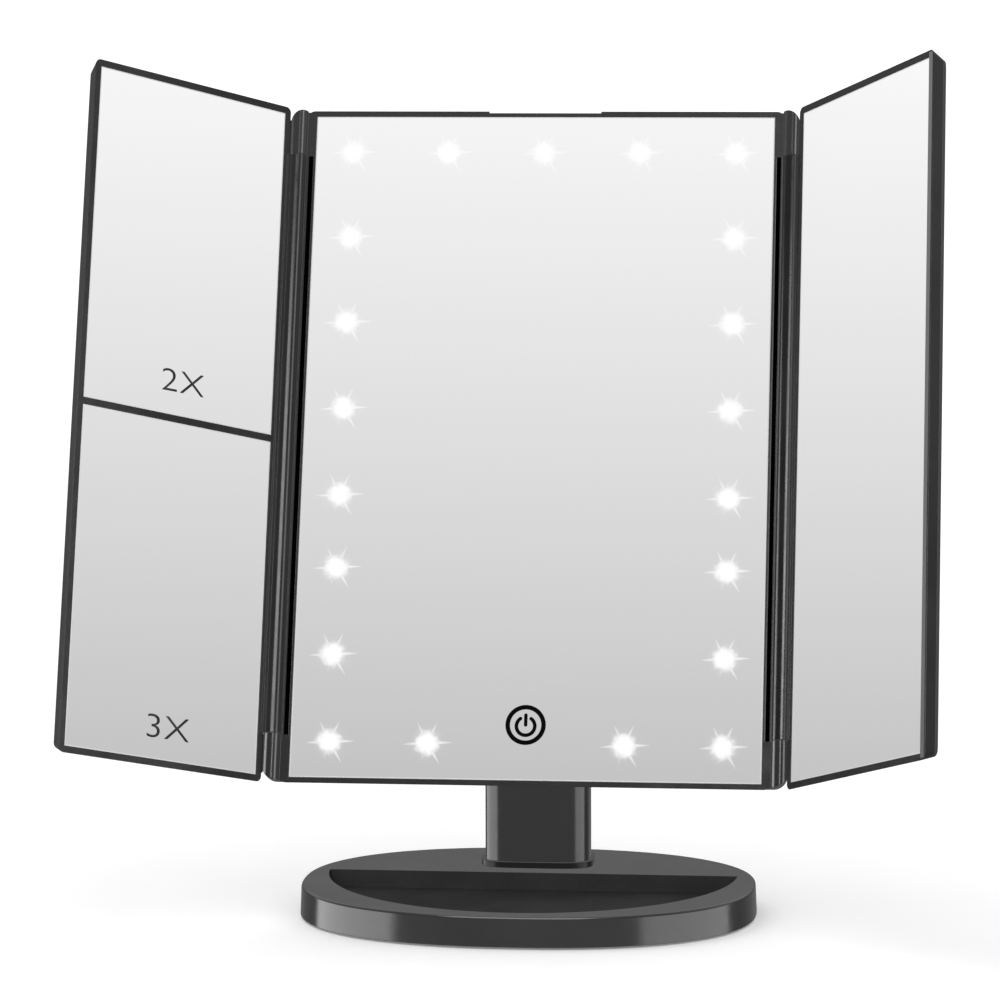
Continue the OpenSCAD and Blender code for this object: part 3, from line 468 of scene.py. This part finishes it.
def plastic(name, dark, light, smooth, rough, grain=1400.0, strength=0.12, seam=None, gloss=0.5):
    """Moulded plastic; seam is the frame and depth of a parting line."""
    material, tree, shader = new_material(name, Specular_IOR_Level=gloss)
    look = use_group(tree, GRAIN, Dark=(*dark, 1), Light=(*light, 1), Smooth=smooth, Rough=rough,
                     Grain=grain)
    colour, height = look["Color"], look["Height"]
    if seam:
        matrix, depth = seam
        line = use_group(tree, SEAM, Depth=at_panel(tree, matrix)["Depth"], At=depth, Width=SEAM_W)["Value"]
        colour = mix_colour(tree, line, colour, (0.001, 0.001, 0.001, 1))
        height = maths(tree, "SUBTRACT", height, maths(tree, "MULTIPLY", line, SEAM_GROOVE))
    feed(tree, shader.inputs["Base Color"], colour)
    feed(tree, shader.inputs["Roughness"], look["Roughness"])
    add_bump(tree, shader, height, strength, 0.05 * MM, edge_radius=0.25 * MM)
    return material


def silvered(name, matrix, u_low, u_high, v_low, v_high, lit=False):
    """Silvered glass with a pale ground edge, whose paleness is partly a painted highlight; if lit, the LEDs
    shine out of it.
    """
    material, tree, shader = new_material(name)
    place = at_panel(tree, matrix)
    # The pale, non-metallic edge band is partly a ground edge and partly a painted highlight along the
    # glass's edges.
    edge = use_group(tree, EDGE, U=place["U"], V=place["V"], U_low=u_low, U_high=u_high, V_low=v_low,
                     V_high=v_high, Width=GLASS_EDGE_W)["Value"]
    colour = mix_colour(tree, edge, (0.985, 0.985, 0.985, 1), (0.80, 0.81, 0.81, 1))
    feed(tree, shader.inputs["Metallic"], maths(tree, "SUBTRACT", 1.0, edge))
    wiped = use_group(tree, SMUDGE, Least=0.004, Most=0.02)["Roughness"]
    rougher = maths(tree, "MULTIPLY", edge, GLASS_EDGE_ROUGH)
    feed(tree, shader.inputs["Roughness"], maths(tree, "ADD", wiped, rougher))
    if lit:
        # The LEDs' glow, with painted star glint rays round each lit core.
        glow = use_group(tree, GLOW, U=place["U"], V=place["V"])["Value"]
        colour = mix_colour(tree, glow, colour, (0, 0, 0, 1))
        feed(tree, shader.inputs["Emission Color"], mix_colour(tree, glow, (0, 0, 0, 1), (1, 1, 1, 1)))
        shader.inputs["Emission Strength"].default_value = 1.0
    feed(tree, shader.inputs["Base Color"], colour)
    return material


def metal(name, dark, light, stretch):
    """Bare metal with fine lines along the axis of the least stretch."""
    material, tree, shader = new_material(name, Metallic=1.0)
    look = use_group(tree, BRUSHED, Dark=(*dark, 1), Light=(*light, 1), Stretch=stretch)
    feed(tree, shader.inputs["Base Color"], look["Color"])
    feed(tree, shader.inputs["Roughness"], look["Roughness"])
    add_bump(tree, shader, look["Height"], 0.15, 0.03 * MM, edge_radius=0.15 * MM)
    return material


def ink(name, dark, light, gloss=0.5):
    material, tree, shader = new_material(name, Specular_IOR_Level=gloss)
    smooth, rough = INK_ROUGHNESS
    look = use_group(tree, GRAIN, Dark=(*dark, 1), Light=(*light, 1), Smooth=smooth, Rough=rough,
                     Grain=2500.0)
    feed(tree, shader.inputs["Base Color"], look["Color"])
    feed(tree, shader.inputs["Roughness"], look["Roughness"])
    add_bump(tree, shader, look["Height"], 0.1, 0.02 * MM)
    return material


half_glass = GLASS_W / 2
wing_out = WING_GLASS_IN + WING_GLASS_W
panel_seam, left_seam, right_seam = (PANEL, PANEL_SPLIT), (LEFT, WING_SPLIT), (RIGHT, WING_SPLIT)
panel_plastic = plastic("panel_plastic", *CHARCOAL, *SATIN, seam=panel_seam)
# The wings' copies of the panel plastic have less gloss, which darkens their rims where the centre panel
# would shade them from the lamps: painted shade.
left_shaded_plastic = plastic("left_wing_shaded_plastic", *CHARCOAL, *SATIN, seam=left_seam, gloss=0.28)
right_shaded_plastic = plastic("right_wing_shaded_plastic", *CHARCOAL, *SATIN, seam=right_seam, gloss=0.17)
rear_plastic = plastic("rear_plastic", *REAR_CHARCOAL, *MATT, **COARSE, seam=panel_seam)
left_rear = plastic("left_wing_rear", *REAR_CHARCOAL, *MATT, **COARSE, seam=left_seam)
right_rear = plastic("right_wing_rear", *REAR_CHARCOAL, *MATT, **COARSE, seam=right_seam)
base_plastic = plastic("base_plastic", *CHARCOAL, *POLISHED)
neck_plastic = plastic("neck_plastic", *CHARCOAL, *POLISHED)
# The neck's foot flange: a copy of the neck plastic with less gloss, which darkens it as painted shade where
# the neck meets the base.
foot_shade_plastic = plastic("foot_shade_plastic", *CHARCOAL, 0.2, 0.3, gloss=0.18)
# The tray's floor and walls: a gloss-free copy of the base plastic whose darkness is painted shade, standing
# in for the shade inside the recess.
tray_shade_plastic = plastic("tray_shade_plastic", (0.022, 0.022, 0.022), (0.031, 0.031, 0.031), 0.5, 0.65, grain=900.0,
                       strength=0.35, gloss=0.0)
under_plastic = plastic("under_plastic", *CHARCOAL, 0.4, 0.55, grain=900.0, strength=0.3)
white_plastic = plastic("white_plastic", (0.78, 0.78, 0.76), (0.86, 0.86, 0.84), 0.45, 0.6)
rubber = plastic("soft_pad_rubber", (0.018, 0.018, 0.018), (0.03, 0.03, 0.03), 0.75, 0.9, grain=700.0,
                 strength=0.5)
board_green = plastic("board_mask", (0.01, 0.09, 0.035), (0.02, 0.16, 0.06), 0.3, 0.45, grain=500.0,
                      strength=0.3)
lens = plastic("led_lens", (0.85, 0.8, 0.45), (0.95, 0.93, 0.7), 0.2, 0.35)
steel = metal("drawn_steel", (0.50, 0.50, 0.51), (0.68, 0.68, 0.69), (60.0, 900.0, 900.0))
turned_steel = metal("turned_steel", (0.45, 0.45, 0.46), (0.62, 0.62, 0.64), (900.0, 900.0, 120.0))
brass = metal("plated_brass", (0.62, 0.46, 0.16), (0.80, 0.63, 0.28), (900.0, 200.0, 900.0))
centre_silver = silvered("centre_silver", PANEL, -half_glass, half_glass, 0.0, GLASS_H, lit=True)
silver_2x = silvered("silver_2x", LEFT, -wing_out, -WING_GLASS_IN, PANE_H + DIVIDER_W, GLASS_H)
silver_3x = silvered("silver_3x", LEFT, -wing_out, -WING_GLASS_IN, 0.0, PANE_H)
right_silver = silvered("right_silver", RIGHT, WING_GLASS_IN, wing_out, 0.0, GLASS_H)
lip_plastic = plastic("lip_plastic", *CHARCOAL, *SATIN)
web_plastic = plastic("hinge_web_plastic", *CHARCOAL, 0.3, 0.4, gloss=0.2)
# Matt black without gloss for the strips over the slots: painted shade, standing in for the dark of the
# slots' depth.
slot_shade_black = ink("slot_shade_black", (0.0004, 0.0004, 0.0004), (0.0012, 0.0012, 0.0012), 0.0)
sign_ink = ink("sign_ink", (0.004, 0.004, 0.004), (0.012, 0.012, 0.012))
touch_ink = ink("touch_ink", (0.0005, 0.0005, 0.0005), (0.002, 0.002, 0.002), 0.05)

LOOKS = {
    "base_plate": under_plastic, "base_pad": rubber, "base_screws": turned_steel, "neck_screws": turned_steel,
    "base_shell": base_plastic, "neck": neck_plastic,
    "tilt_axle": steel, "tilt_nut": steel, "tilt_washers": steel,
    "centre_frame": panel_plastic, "rear_cover": rear_plastic, "battery_door": rear_plastic,
    "centre_mirror": centre_silver, "light_mask": white_plastic, "led_board": board_green, "leds": lens,
    "touch_spring": brass, "control_board": board_green, "usb_socket": steel, "board_screws": turned_steel,
    "cover_screws": turned_steel, "battery_contacts": steel, "battery_springs": steel,
    "hinge_pin_left_top": turned_steel, "hinge_pin_left_bottom": turned_steel,
    "hinge_pin_right_top": turned_steel, "hinge_pin_right_bottom": turned_steel,
    "left_wing_frame": left_shaded_plastic, "left_wing_back": left_rear,
    "mirror_2x": silver_2x, "mirror_3x": silver_3x,
    "right_wing_frame": right_shaded_plastic, "right_wing_back": right_rear, "mirror_right": right_silver,
}
for name, node in NODES.items():
    node.data.materials.clear()
    node.data.materials.append(LOOKS[name])


# ---- Pieces ----

def add_piece(name, mesh, material, body):
    mesh.materials.clear()
    mesh.materials.append(material)
    piece = bpy.data.objects.new(name, mesh)
    SCENE.collection.objects.link(piece)
    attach(piece, body)
    return piece


def soft_normals(mesh, limit):
    """Each corner takes the area-weighted mean normal of the faces round it that turn less than limit."""
    least = math.cos(math.radians(limit))
    around = [[] for _ in mesh.vertices]
    for face in mesh.polygons:
        face.use_smooth = True
        for vertex in face.vertices:
            around[vertex].append(face)
    corners = []
    for face in mesh.polygons:
        for vertex in face.vertices:
            total = Vector()
            for other in around[vertex]:
                if other.normal.dot(face.normal) > least:
                    total += other.normal * other.area
            corners.append(total.normalized())
    mesh.normals_split_custom_set(corners)


def smooth_copy(node_name, name, body, second, has_second):
    """Shows a CAD part by a copy whose flats and curves run smoothly into each other.

    Faces whose centre passes has_second get the second material.
    """
    work = bmesh.new()
    work.from_mesh(NODES[node_name].data)
    bmesh.ops.remove_doubles(work, verts=work.verts, dist=0.002 * MM)
    bmesh.ops.dissolve_limit(work, angle_limit=math.radians(0.2), verts=work.verts, edges=work.edges)
    mesh = bpy.data.meshes.new(name)
    work.to_mesh(mesh)
    work.free()
    soft_normals(mesh, SMOOTH_LIMIT)
    piece = add_piece(name, mesh, LOOKS[node_name], body)
    mesh.materials.append(second)
    for face in mesh.polygons:
        if has_second(face.center / MM):
            face.material_index = 1
    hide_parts(node_name)
    return piece


def raise_faces(work, faces, offset):
    """Extrudes faces by an offset in metres; the faces they start from stay as the back."""
    raised = bmesh.ops.extrude_face_region(work, geom=faces)["geom"]
    bmesh.ops.translate(work, vec=offset,
                        verts=[item for item in raised if isinstance(item, bmesh.types.BMVert)])


def finish_piece(work, name, matrix, material, body, soften=0.0):
    """Turns the faces outward, rounds the edges if asked, and moves the shape into its panel's frame."""
    bmesh.ops.recalc_face_normals(work, faces=work.faces)
    if soften:
        bmesh.ops.bevel(work, geom=list(work.edges), offset=soften * MM, segments=2, profile=0.5,
                        affect="EDGES", material=-1)
    bmesh.ops.transform(work, matrix=matrix, verts=work.verts)
    mesh = bpy.data.meshes.new(name)
    work.to_mesh(mesh)
    work.free()
    return add_piece(name, mesh, material, body)


def plate(name, outlines, matrix, thickness, material, body, soften=0.0):
    """Flat piece: closed outlines in X and Z of a panel's frame, standing thickness in front of its Y = 0."""
    work = bmesh.new()
    for outline in outlines:
        face = work.faces.new([work.verts.new((x * MM, 0.0, z * MM)) for x, z in outline])
        raise_faces(work, [face], (0.0, -thickness * MM, 0.0))
    bmesh.ops.triangulate(work, faces=[face for face in work.faces if len(face.verts) > 4])
    return finish_piece(work, name, matrix, material, body, soften)


def rectangle(x_low, x_high, z_low, z_high):
    return [(x_low, z_low), (x_high, z_low), (x_high, z_high), (x_low, z_high)]


def around(cx, cz, radius, degrees):
    return cx + radius * math.cos(math.radians(degrees)), cz + radius * math.sin(math.radians(degrees))


def arc(cx, cz, radius, start, end, steps):
    return [around(cx, cz, radius, start + (end - start) * i / steps) for i in range(steps + 1)]


def round_ended_arc(cx, cz, radius, half_width, start, end):
    """Outline of a curved stroke with round ends."""
    return (arc(cx, cz, radius + half_width, start, end, 40)
            + arc(*around(cx, cz, radius, end), half_width, end, end + 180, 10)[1:-1]
            + arc(cx, cz, radius - half_width, end, start, 40)
            + arc(*around(cx, cz, radius, start), half_width, start + 180, start + 360, 10)[1:-1])


def round_ended_bar(x, low, high, half_width):
    return arc(x, high, half_width, 0, 180, 12) + arc(x, low, half_width, 180, 360, 12)


def ring_sign(name, cz, outer, inner, matrix, material, body, slot):
    """Flat ring in front of the glass: a rectangular section spun round the ring's middle."""
    work = bmesh.new()
    corners = [work.verts.new((radius * MM, y * MM, cz * MM))
               for radius, y in ((inner, 0.0), (outer, 0.0), (outer, -SIGN_T), (inner, -SIGN_T))]
    edges = [work.edges.new((corners[i - 1], corners[i])) for i in range(4)]
    bmesh.ops.spin(work, geom=corners + edges, cent=(0.0, 0.0, cz * MM), axis=(0.0, 1.0, 0.0),
                   angle=2 * math.pi, steps=96, use_merge=True)
    return finish_piece(work, name, matrix, material, body)


def word_sign(name, text, place, matrix, material, body):
    """Short printed sign, made a mesh and fitted to the place and size it has on the glass."""
    centre_u, centre_z, width, height = place
    curve = bpy.data.curves.new(name, "FONT")
    curve.body = text
    curve.offset = LETTER_THIN
    curve.resolution_u = 6
    lettering = bpy.data.objects.new(name + "_lettering", curve)
    SCENE.collection.objects.link(lettering)
    flat = bpy.data.meshes.new_from_object(lettering)
    bpy.data.objects.remove(lettering)
    bpy.data.curves.remove(curve)
    work = bmesh.new()
    work.from_mesh(flat)
    bpy.data.meshes.remove(flat)
    xs = [v.co.x for v in work.verts]
    ys = [v.co.y for v in work.verts]
    for v in work.verts:
        u = centre_u + ((v.co.x - min(xs)) / (max(xs) - min(xs)) - 0.5) * width
        z = centre_z + ((v.co.y - min(ys)) / (max(ys) - min(ys)) - 0.5) * height
        v.co = Vector((u * MM, 0.0, z * MM))
    bmesh.ops.remove_doubles(work, verts=work.verts, dist=0.001 * MM)
    raise_faces(work, list(work.faces), (0.0, -SIGN_T * MM, 0.0))
    return finish_piece(work, name, matrix, material, body)


def in_tray(at):
    """Whether a point of the base, in millimetres, lies on the tray's floor or walls."""
    inside = (at.x / TRAY_HALF) ** 2 + ((at.y - TRAY_ARC_Y) / TRAY_REACH) ** 2 < TRAY_ARC_SLACK
    return inside and at.y < TRAY_BACK + 0.1 and BASE_TOP - TRAY_DEPTH - 0.1 < at.z < BASE_TOP - 0.2


def in_foot(at):
    """Whether a point of the neck, in millimetres, lies on its foot flange."""
    return BASE_TOP - 0.5 < at.z < BASE_TOP + FOOT_H + 0.05


# The tray and the neck's foot flange take their painted-shade copies of the plastic.
base_piece = smooth_copy("base_shell", "base_shell_smooth", "base", tray_shade_plastic, in_tray)
neck_piece = smooth_copy("neck", "neck_smooth", "base", foot_shade_plastic, in_foot)

ring_sign("touch_ring", TOUCH_Z, *TOUCH_RING, PANEL, touch_ink, "panel", "charcoal_plastic")
bar_length, bar_half_width = POWER_BAR
plate("touch_power", [round_ended_arc(0.0, TOUCH_Z - POWER_ARC_DROP, *POWER_ARC, *POWER_ARC_ENDS),
                      round_ended_bar(0.0, TOUCH_Z, TOUCH_Z + bar_length, bar_half_width)],
      PANEL, SIGN_T, touch_ink, "panel")
word_sign("sign_2x", "2X", SIGN_2X, LEFT, sign_ink, "left_wing")
word_sign("sign_3x", "3X", SIGN_3X, LEFT, sign_ink, "left_wing")

# Black strips over the slots beside the centre glass: painted shade where the slots' depth would be dark.
for side, u_low, u_high in SLOT_SHADE_STRIPS:
    plate("slot_shade_strip_" + side, [rectangle(u_low, u_high, SLOT_LOW, SLOT_HIGH)], PANEL,
          RIM_PROUD + SLOT_SHADE_PROUD, slot_shade_black, "panel", SLOT_SHADE_SOFTEN)


def hinge_flaps(body, matrix, u_low, u_high):
    """Thin flaps on a wing's inner edge, which close the view past the fixed knuckles behind them."""
    place = matrix @ Matrix.Translation((0, (FLAP_BACK - HINGE_AHEAD) * MM, 0))
    for end, z_low, z_high in FLAP_ENDS:
        plate("hinge_flap_" + body.removesuffix("_wing") + "_" + end,
              [rectangle(u_low, u_high, z_low, z_high)], place, FLAP_T, web_plastic, body,
              FLAP_SOFTEN)


hinge_flaps("left_wing", LEFT, -FLAP_OUT, -FLAP_IN)
hinge_flaps("right_wing", RIGHT, FLAP_IN, FLAP_OUT)


def outer_lip():
    """Sloping lip along the right wing's outer rim, which catches the light."""
    work = bmesh.new()
    section = [(OUTER_LIP_IN, -OUTER_LIP_ROOT), (OUTER_LIP_IN, -RIM_PROUD - OUTER_LIP_PEAK),
               (OUTER_LIP_OUT, -RIM_PROUD - OUTER_LIP_EDGE), (OUTER_LIP_OUT, -OUTER_LIP_ROOT)]
    face = work.faces.new([work.verts.new((u * MM, y * MM, -OUTER_LIP_PAST * MM)) for u, y in section])
    raise_faces(work, [face], (0.0, 0.0, (GLASS_H + 2 * OUTER_LIP_PAST) * MM))
    return finish_piece(work, "right_outer_lip", RIGHT, lip_plastic, "right_wing",
                        OUTER_LIP_SOFTEN)


lip_piece = outer_lip()


# ---- Light and stage ----

def make_world():
    """White to the camera, even light on matt surfaces, and a soft gradient in the mirrors."""
    world = bpy.data.worlds.new("studio")
    SCENE.world = world
    world.use_nodes = True
    tree = world.node_tree
    way = tree.nodes.new("ShaderNodeTexCoord").outputs["Generated"]
    split = tree.nodes.new("ShaderNodeSeparateXYZ")
    feed(tree, split.inputs[0], way)
    y, z = split.outputs["Y"], split.outputs["Z"]

    def blend(a, b, factor):
        return maths(tree, "ADD", maths(tree, "MULTIPLY", a, maths(tree, "SUBTRACT", 1.0, factor)),
                     maths(tree, "MULTIPLY", factor, b))

    lean = vector_maths(tree, "DOT_PRODUCT", way, UP)
    room = maths(tree, "ADD", maths(tree, "MULTIPLY", lean, GRADIENT_SLOPE), GRADIENT_FOOT)
    room = maths(tree, "MINIMUM", maths(tree, "MAXIMUM", room, ROOM_LEAST), ROOM_MOST)
    behind = maths(tree, "MULTIPLY", span(tree, y, 0.42, 0.62), span(tree, z, 0.15, 0.5, 1.0, 0.0))
    room = blend(room, BEHIND, behind)
    floor_seen = maths(tree, "MULTIPLY", span(tree, z, -0.06, 0.0, 1.0, 0.0),
                       span(tree, y, -0.2, 0.4, 1.0, 0.0))
    room = blend(room, FLOOR_SHOWN, floor_seen)
    path = tree.nodes.new("ShaderNodeLightPath").outputs
    light = blend(AMBIENT, room, path["Is Glossy Ray"])
    light = maths(tree, "MAXIMUM", light, path["Is Camera Ray"])
    feed(tree, tree.nodes["Background"].inputs["Color"], light)


def link_light(lamp, receivers):
    """Lets a lamp light only the receivers."""
    group = bpy.data.collections.new(lamp.name + "_receivers")
    for item in receivers:
        group.objects.link(item)
    lamp.light_linking.receiver_collection = group


def area_light(name, centre, facing, width, height, radiance, receivers, blocked):
    """Rectangle of even radiance; unless blocked, the parts in front of the receivers cast no shadow."""
    data = bpy.data.lights.new(name, "AREA")
    data.shape = "RECTANGLE"
    data.size = width
    data.size_y = height
    data.energy = radiance * math.pi * width * height
    lamp = bpy.data.objects.new(name, data)
    lamp.rotation_mode = "QUATERNION"
    lamp.rotation_quaternion = (-Vector(facing)).to_track_quat("Z", "Y")
    lamp.location = centre
    lamp.visible_camera = False
    SCENE.collection.objects.link(lamp)
    link_light(lamp, receivers)
    if not blocked:
        lamp.light_linking.blocker_collection = bpy.data.collections.new(name + "_blockers")


centre_frame, left_frame, left_back, right_frame, right_back = (
    NODES[name] for name in ("centre_frame", "left_wing_frame", "left_wing_back", "right_wing_frame",
                             "right_wing_back"))
side_walls = [left_frame, left_back, right_frame, right_back, centre_frame]
FROM_LEFT, FROM_RIGHT = (1, 0, 0), (-1, 0, 0)
# Name, centre and facing, width and height in metres, radiance, what it lights, and whether parts block it.
# The base's and the neck's side lights stand mostly below the floor, so that tops don't shine from the side.
LIGHTS = (
    ("left_base_box", (-1.2, -0.30, -0.25), FROM_LEFT, 1.6, 0.6, 3.9, [base_piece], True),
    ("left_neck_box", (-1.2, -0.35, -0.2), FROM_LEFT, 2.2, 0.7, 3.4, [neck_piece], True),
    ("right_base_box", (1.2, -0.48, -0.25), FROM_RIGHT, 1.86, 0.6, 2.6, [base_piece], True),
    ("right_neck_box", (1.2, -0.925, -0.2), FROM_RIGHT, 1.95, 0.7, 2.5, [neck_piece], True),
    ("right_box", (1.2, -0.652, 0.4), FROM_RIGHT, 0.566, 1.6, 5.2, side_walls, True),
    ("front_left_box", (-0.14, -1.33, 0.90), (0.09, 0.87, -0.5), 1.1, 0.42, 11.5, [left_frame], True),
    ("front_base_box", (-0.1, -1.33, 1.25), (0.08, 0.87, -0.6), 1.3, 1.9, 4.5, [base_piece], True),
    ("front_right_box", (0.60, -1.33, 0.90), (-0.35, 0.87, -0.5), 0.75, 0.42, 25.0, [right_frame], True),
    ("knuckle_box", (0.27, -1.33, 0.90), (-0.15, 0.87, -0.5), 0.2, 0.5, 11.0, [centre_frame], True),
    ("left_strip", (-1.2, -0.08, 0.26), FROM_LEFT, 0.74, 0.52, 12.5, [right_frame], False),
    ("left_knuckle_strip", (-1.2, -0.08, 0.26), FROM_LEFT, 0.74, 0.52, 6.5, [centre_frame], False),
    ("lip_box", (-1.2, -0.02, 0.55), FROM_LEFT, 1.0, 1.2, 2.6, [lip_piece], False),
)


def make_floor():
    """Pale floor that takes the shadow and isn't seen in the mirrors."""
    mesh = bpy.data.meshes.new("floor")
    work = bmesh.new()
    bmesh.ops.create_grid(work, x_segments=1, y_segments=1, size=FLOOR_HALF)
    work.to_mesh(mesh)
    work.free()
    floor = bpy.data.objects.new("floor", mesh)
    material, tree, shader = new_material("pale_floor", Roughness=1.0, Specular_IOR_Level=0.0)
    look = use_group(tree, GRAIN, Dark=(0.93, 0.93, 0.93, 1), Light=(0.95, 0.95, 0.95, 1), Smooth=0.9,
                     Rough=1.0, Grain=200.0)
    feed(tree, shader.inputs["Base Color"], look["Color"])
    shader.inputs["Emission Color"].default_value = (1, 1, 1, 1)
    seen = tree.nodes.new("ShaderNodeLightPath").outputs["Is Camera Ray"]
    feed(tree, shader.inputs["Emission Strength"], maths(tree, "MULTIPLY", seen, FLOOR_LIFT))
    mesh.materials.append(material)
    SCENE.collection.objects.link(floor)
    floor.visible_shadow = False
    return floor


def make_sun(floor):
    """Wide sun that only draws the soft shadow on the floor."""
    data = bpy.data.lights.new("sun", "SUN")
    data.energy = SUN_STRENGTH
    data.angle = math.radians(SUN_WIDTH)
    lamp = bpy.data.objects.new("sun", data)
    lamp.rotation_mode = "QUATERNION"
    lamp.rotation_quaternion = Vector(SUN_FROM).to_track_quat("Z", "Y")
    SCENE.collection.objects.link(lamp)
    link_light(lamp, [floor])


make_world()
for light in LIGHTS:
    area_light(*light)
make_sun(make_floor())

# The photograph's mirrors show a plain soft gradient, so reflections leave the parts themselves out.
for thing in SCENE.objects:
    if thing.type == "MESH":
        thing.visible_glossy = False


def add_camera():
    toward = Vector((math.sin(CAMERA_AZIMUTH) * math.cos(CAMERA_ELEVATION),
                     -math.cos(CAMERA_AZIMUTH) * math.cos(CAMERA_ELEVATION),
                     math.sin(CAMERA_ELEVATION)))
    level = Vector((math.cos(CAMERA_AZIMUTH), math.sin(CAMERA_AZIMUTH), 0.0))
    up = toward.cross(level)
    right = math.cos(CAMERA_ROLL) * level + math.sin(CAMERA_ROLL) * up
    up = toward.cross(right)
    data = bpy.data.cameras.new("camera")
    data.sensor_width = SENSOR_WIDTH
    data.lens = FOCAL_IN_FRAMES * SENSOR_WIDTH
    data.shift_x = SHIFT_X
    data.shift_y = SHIFT_Y
    data.clip_end = 60.0
    camera = bpy.data.objects.new("camera", data)
    pose = Matrix((right, up, toward)).transposed().to_4x4()
    pose.translation = CAMERA_AIM + toward * CAMERA_DISTANCE
    camera.matrix_world = pose
    SCENE.collection.objects.link(camera)
    SCENE.camera = camera


add_camera()
SCENE.view_settings.view_transform = "Standard"
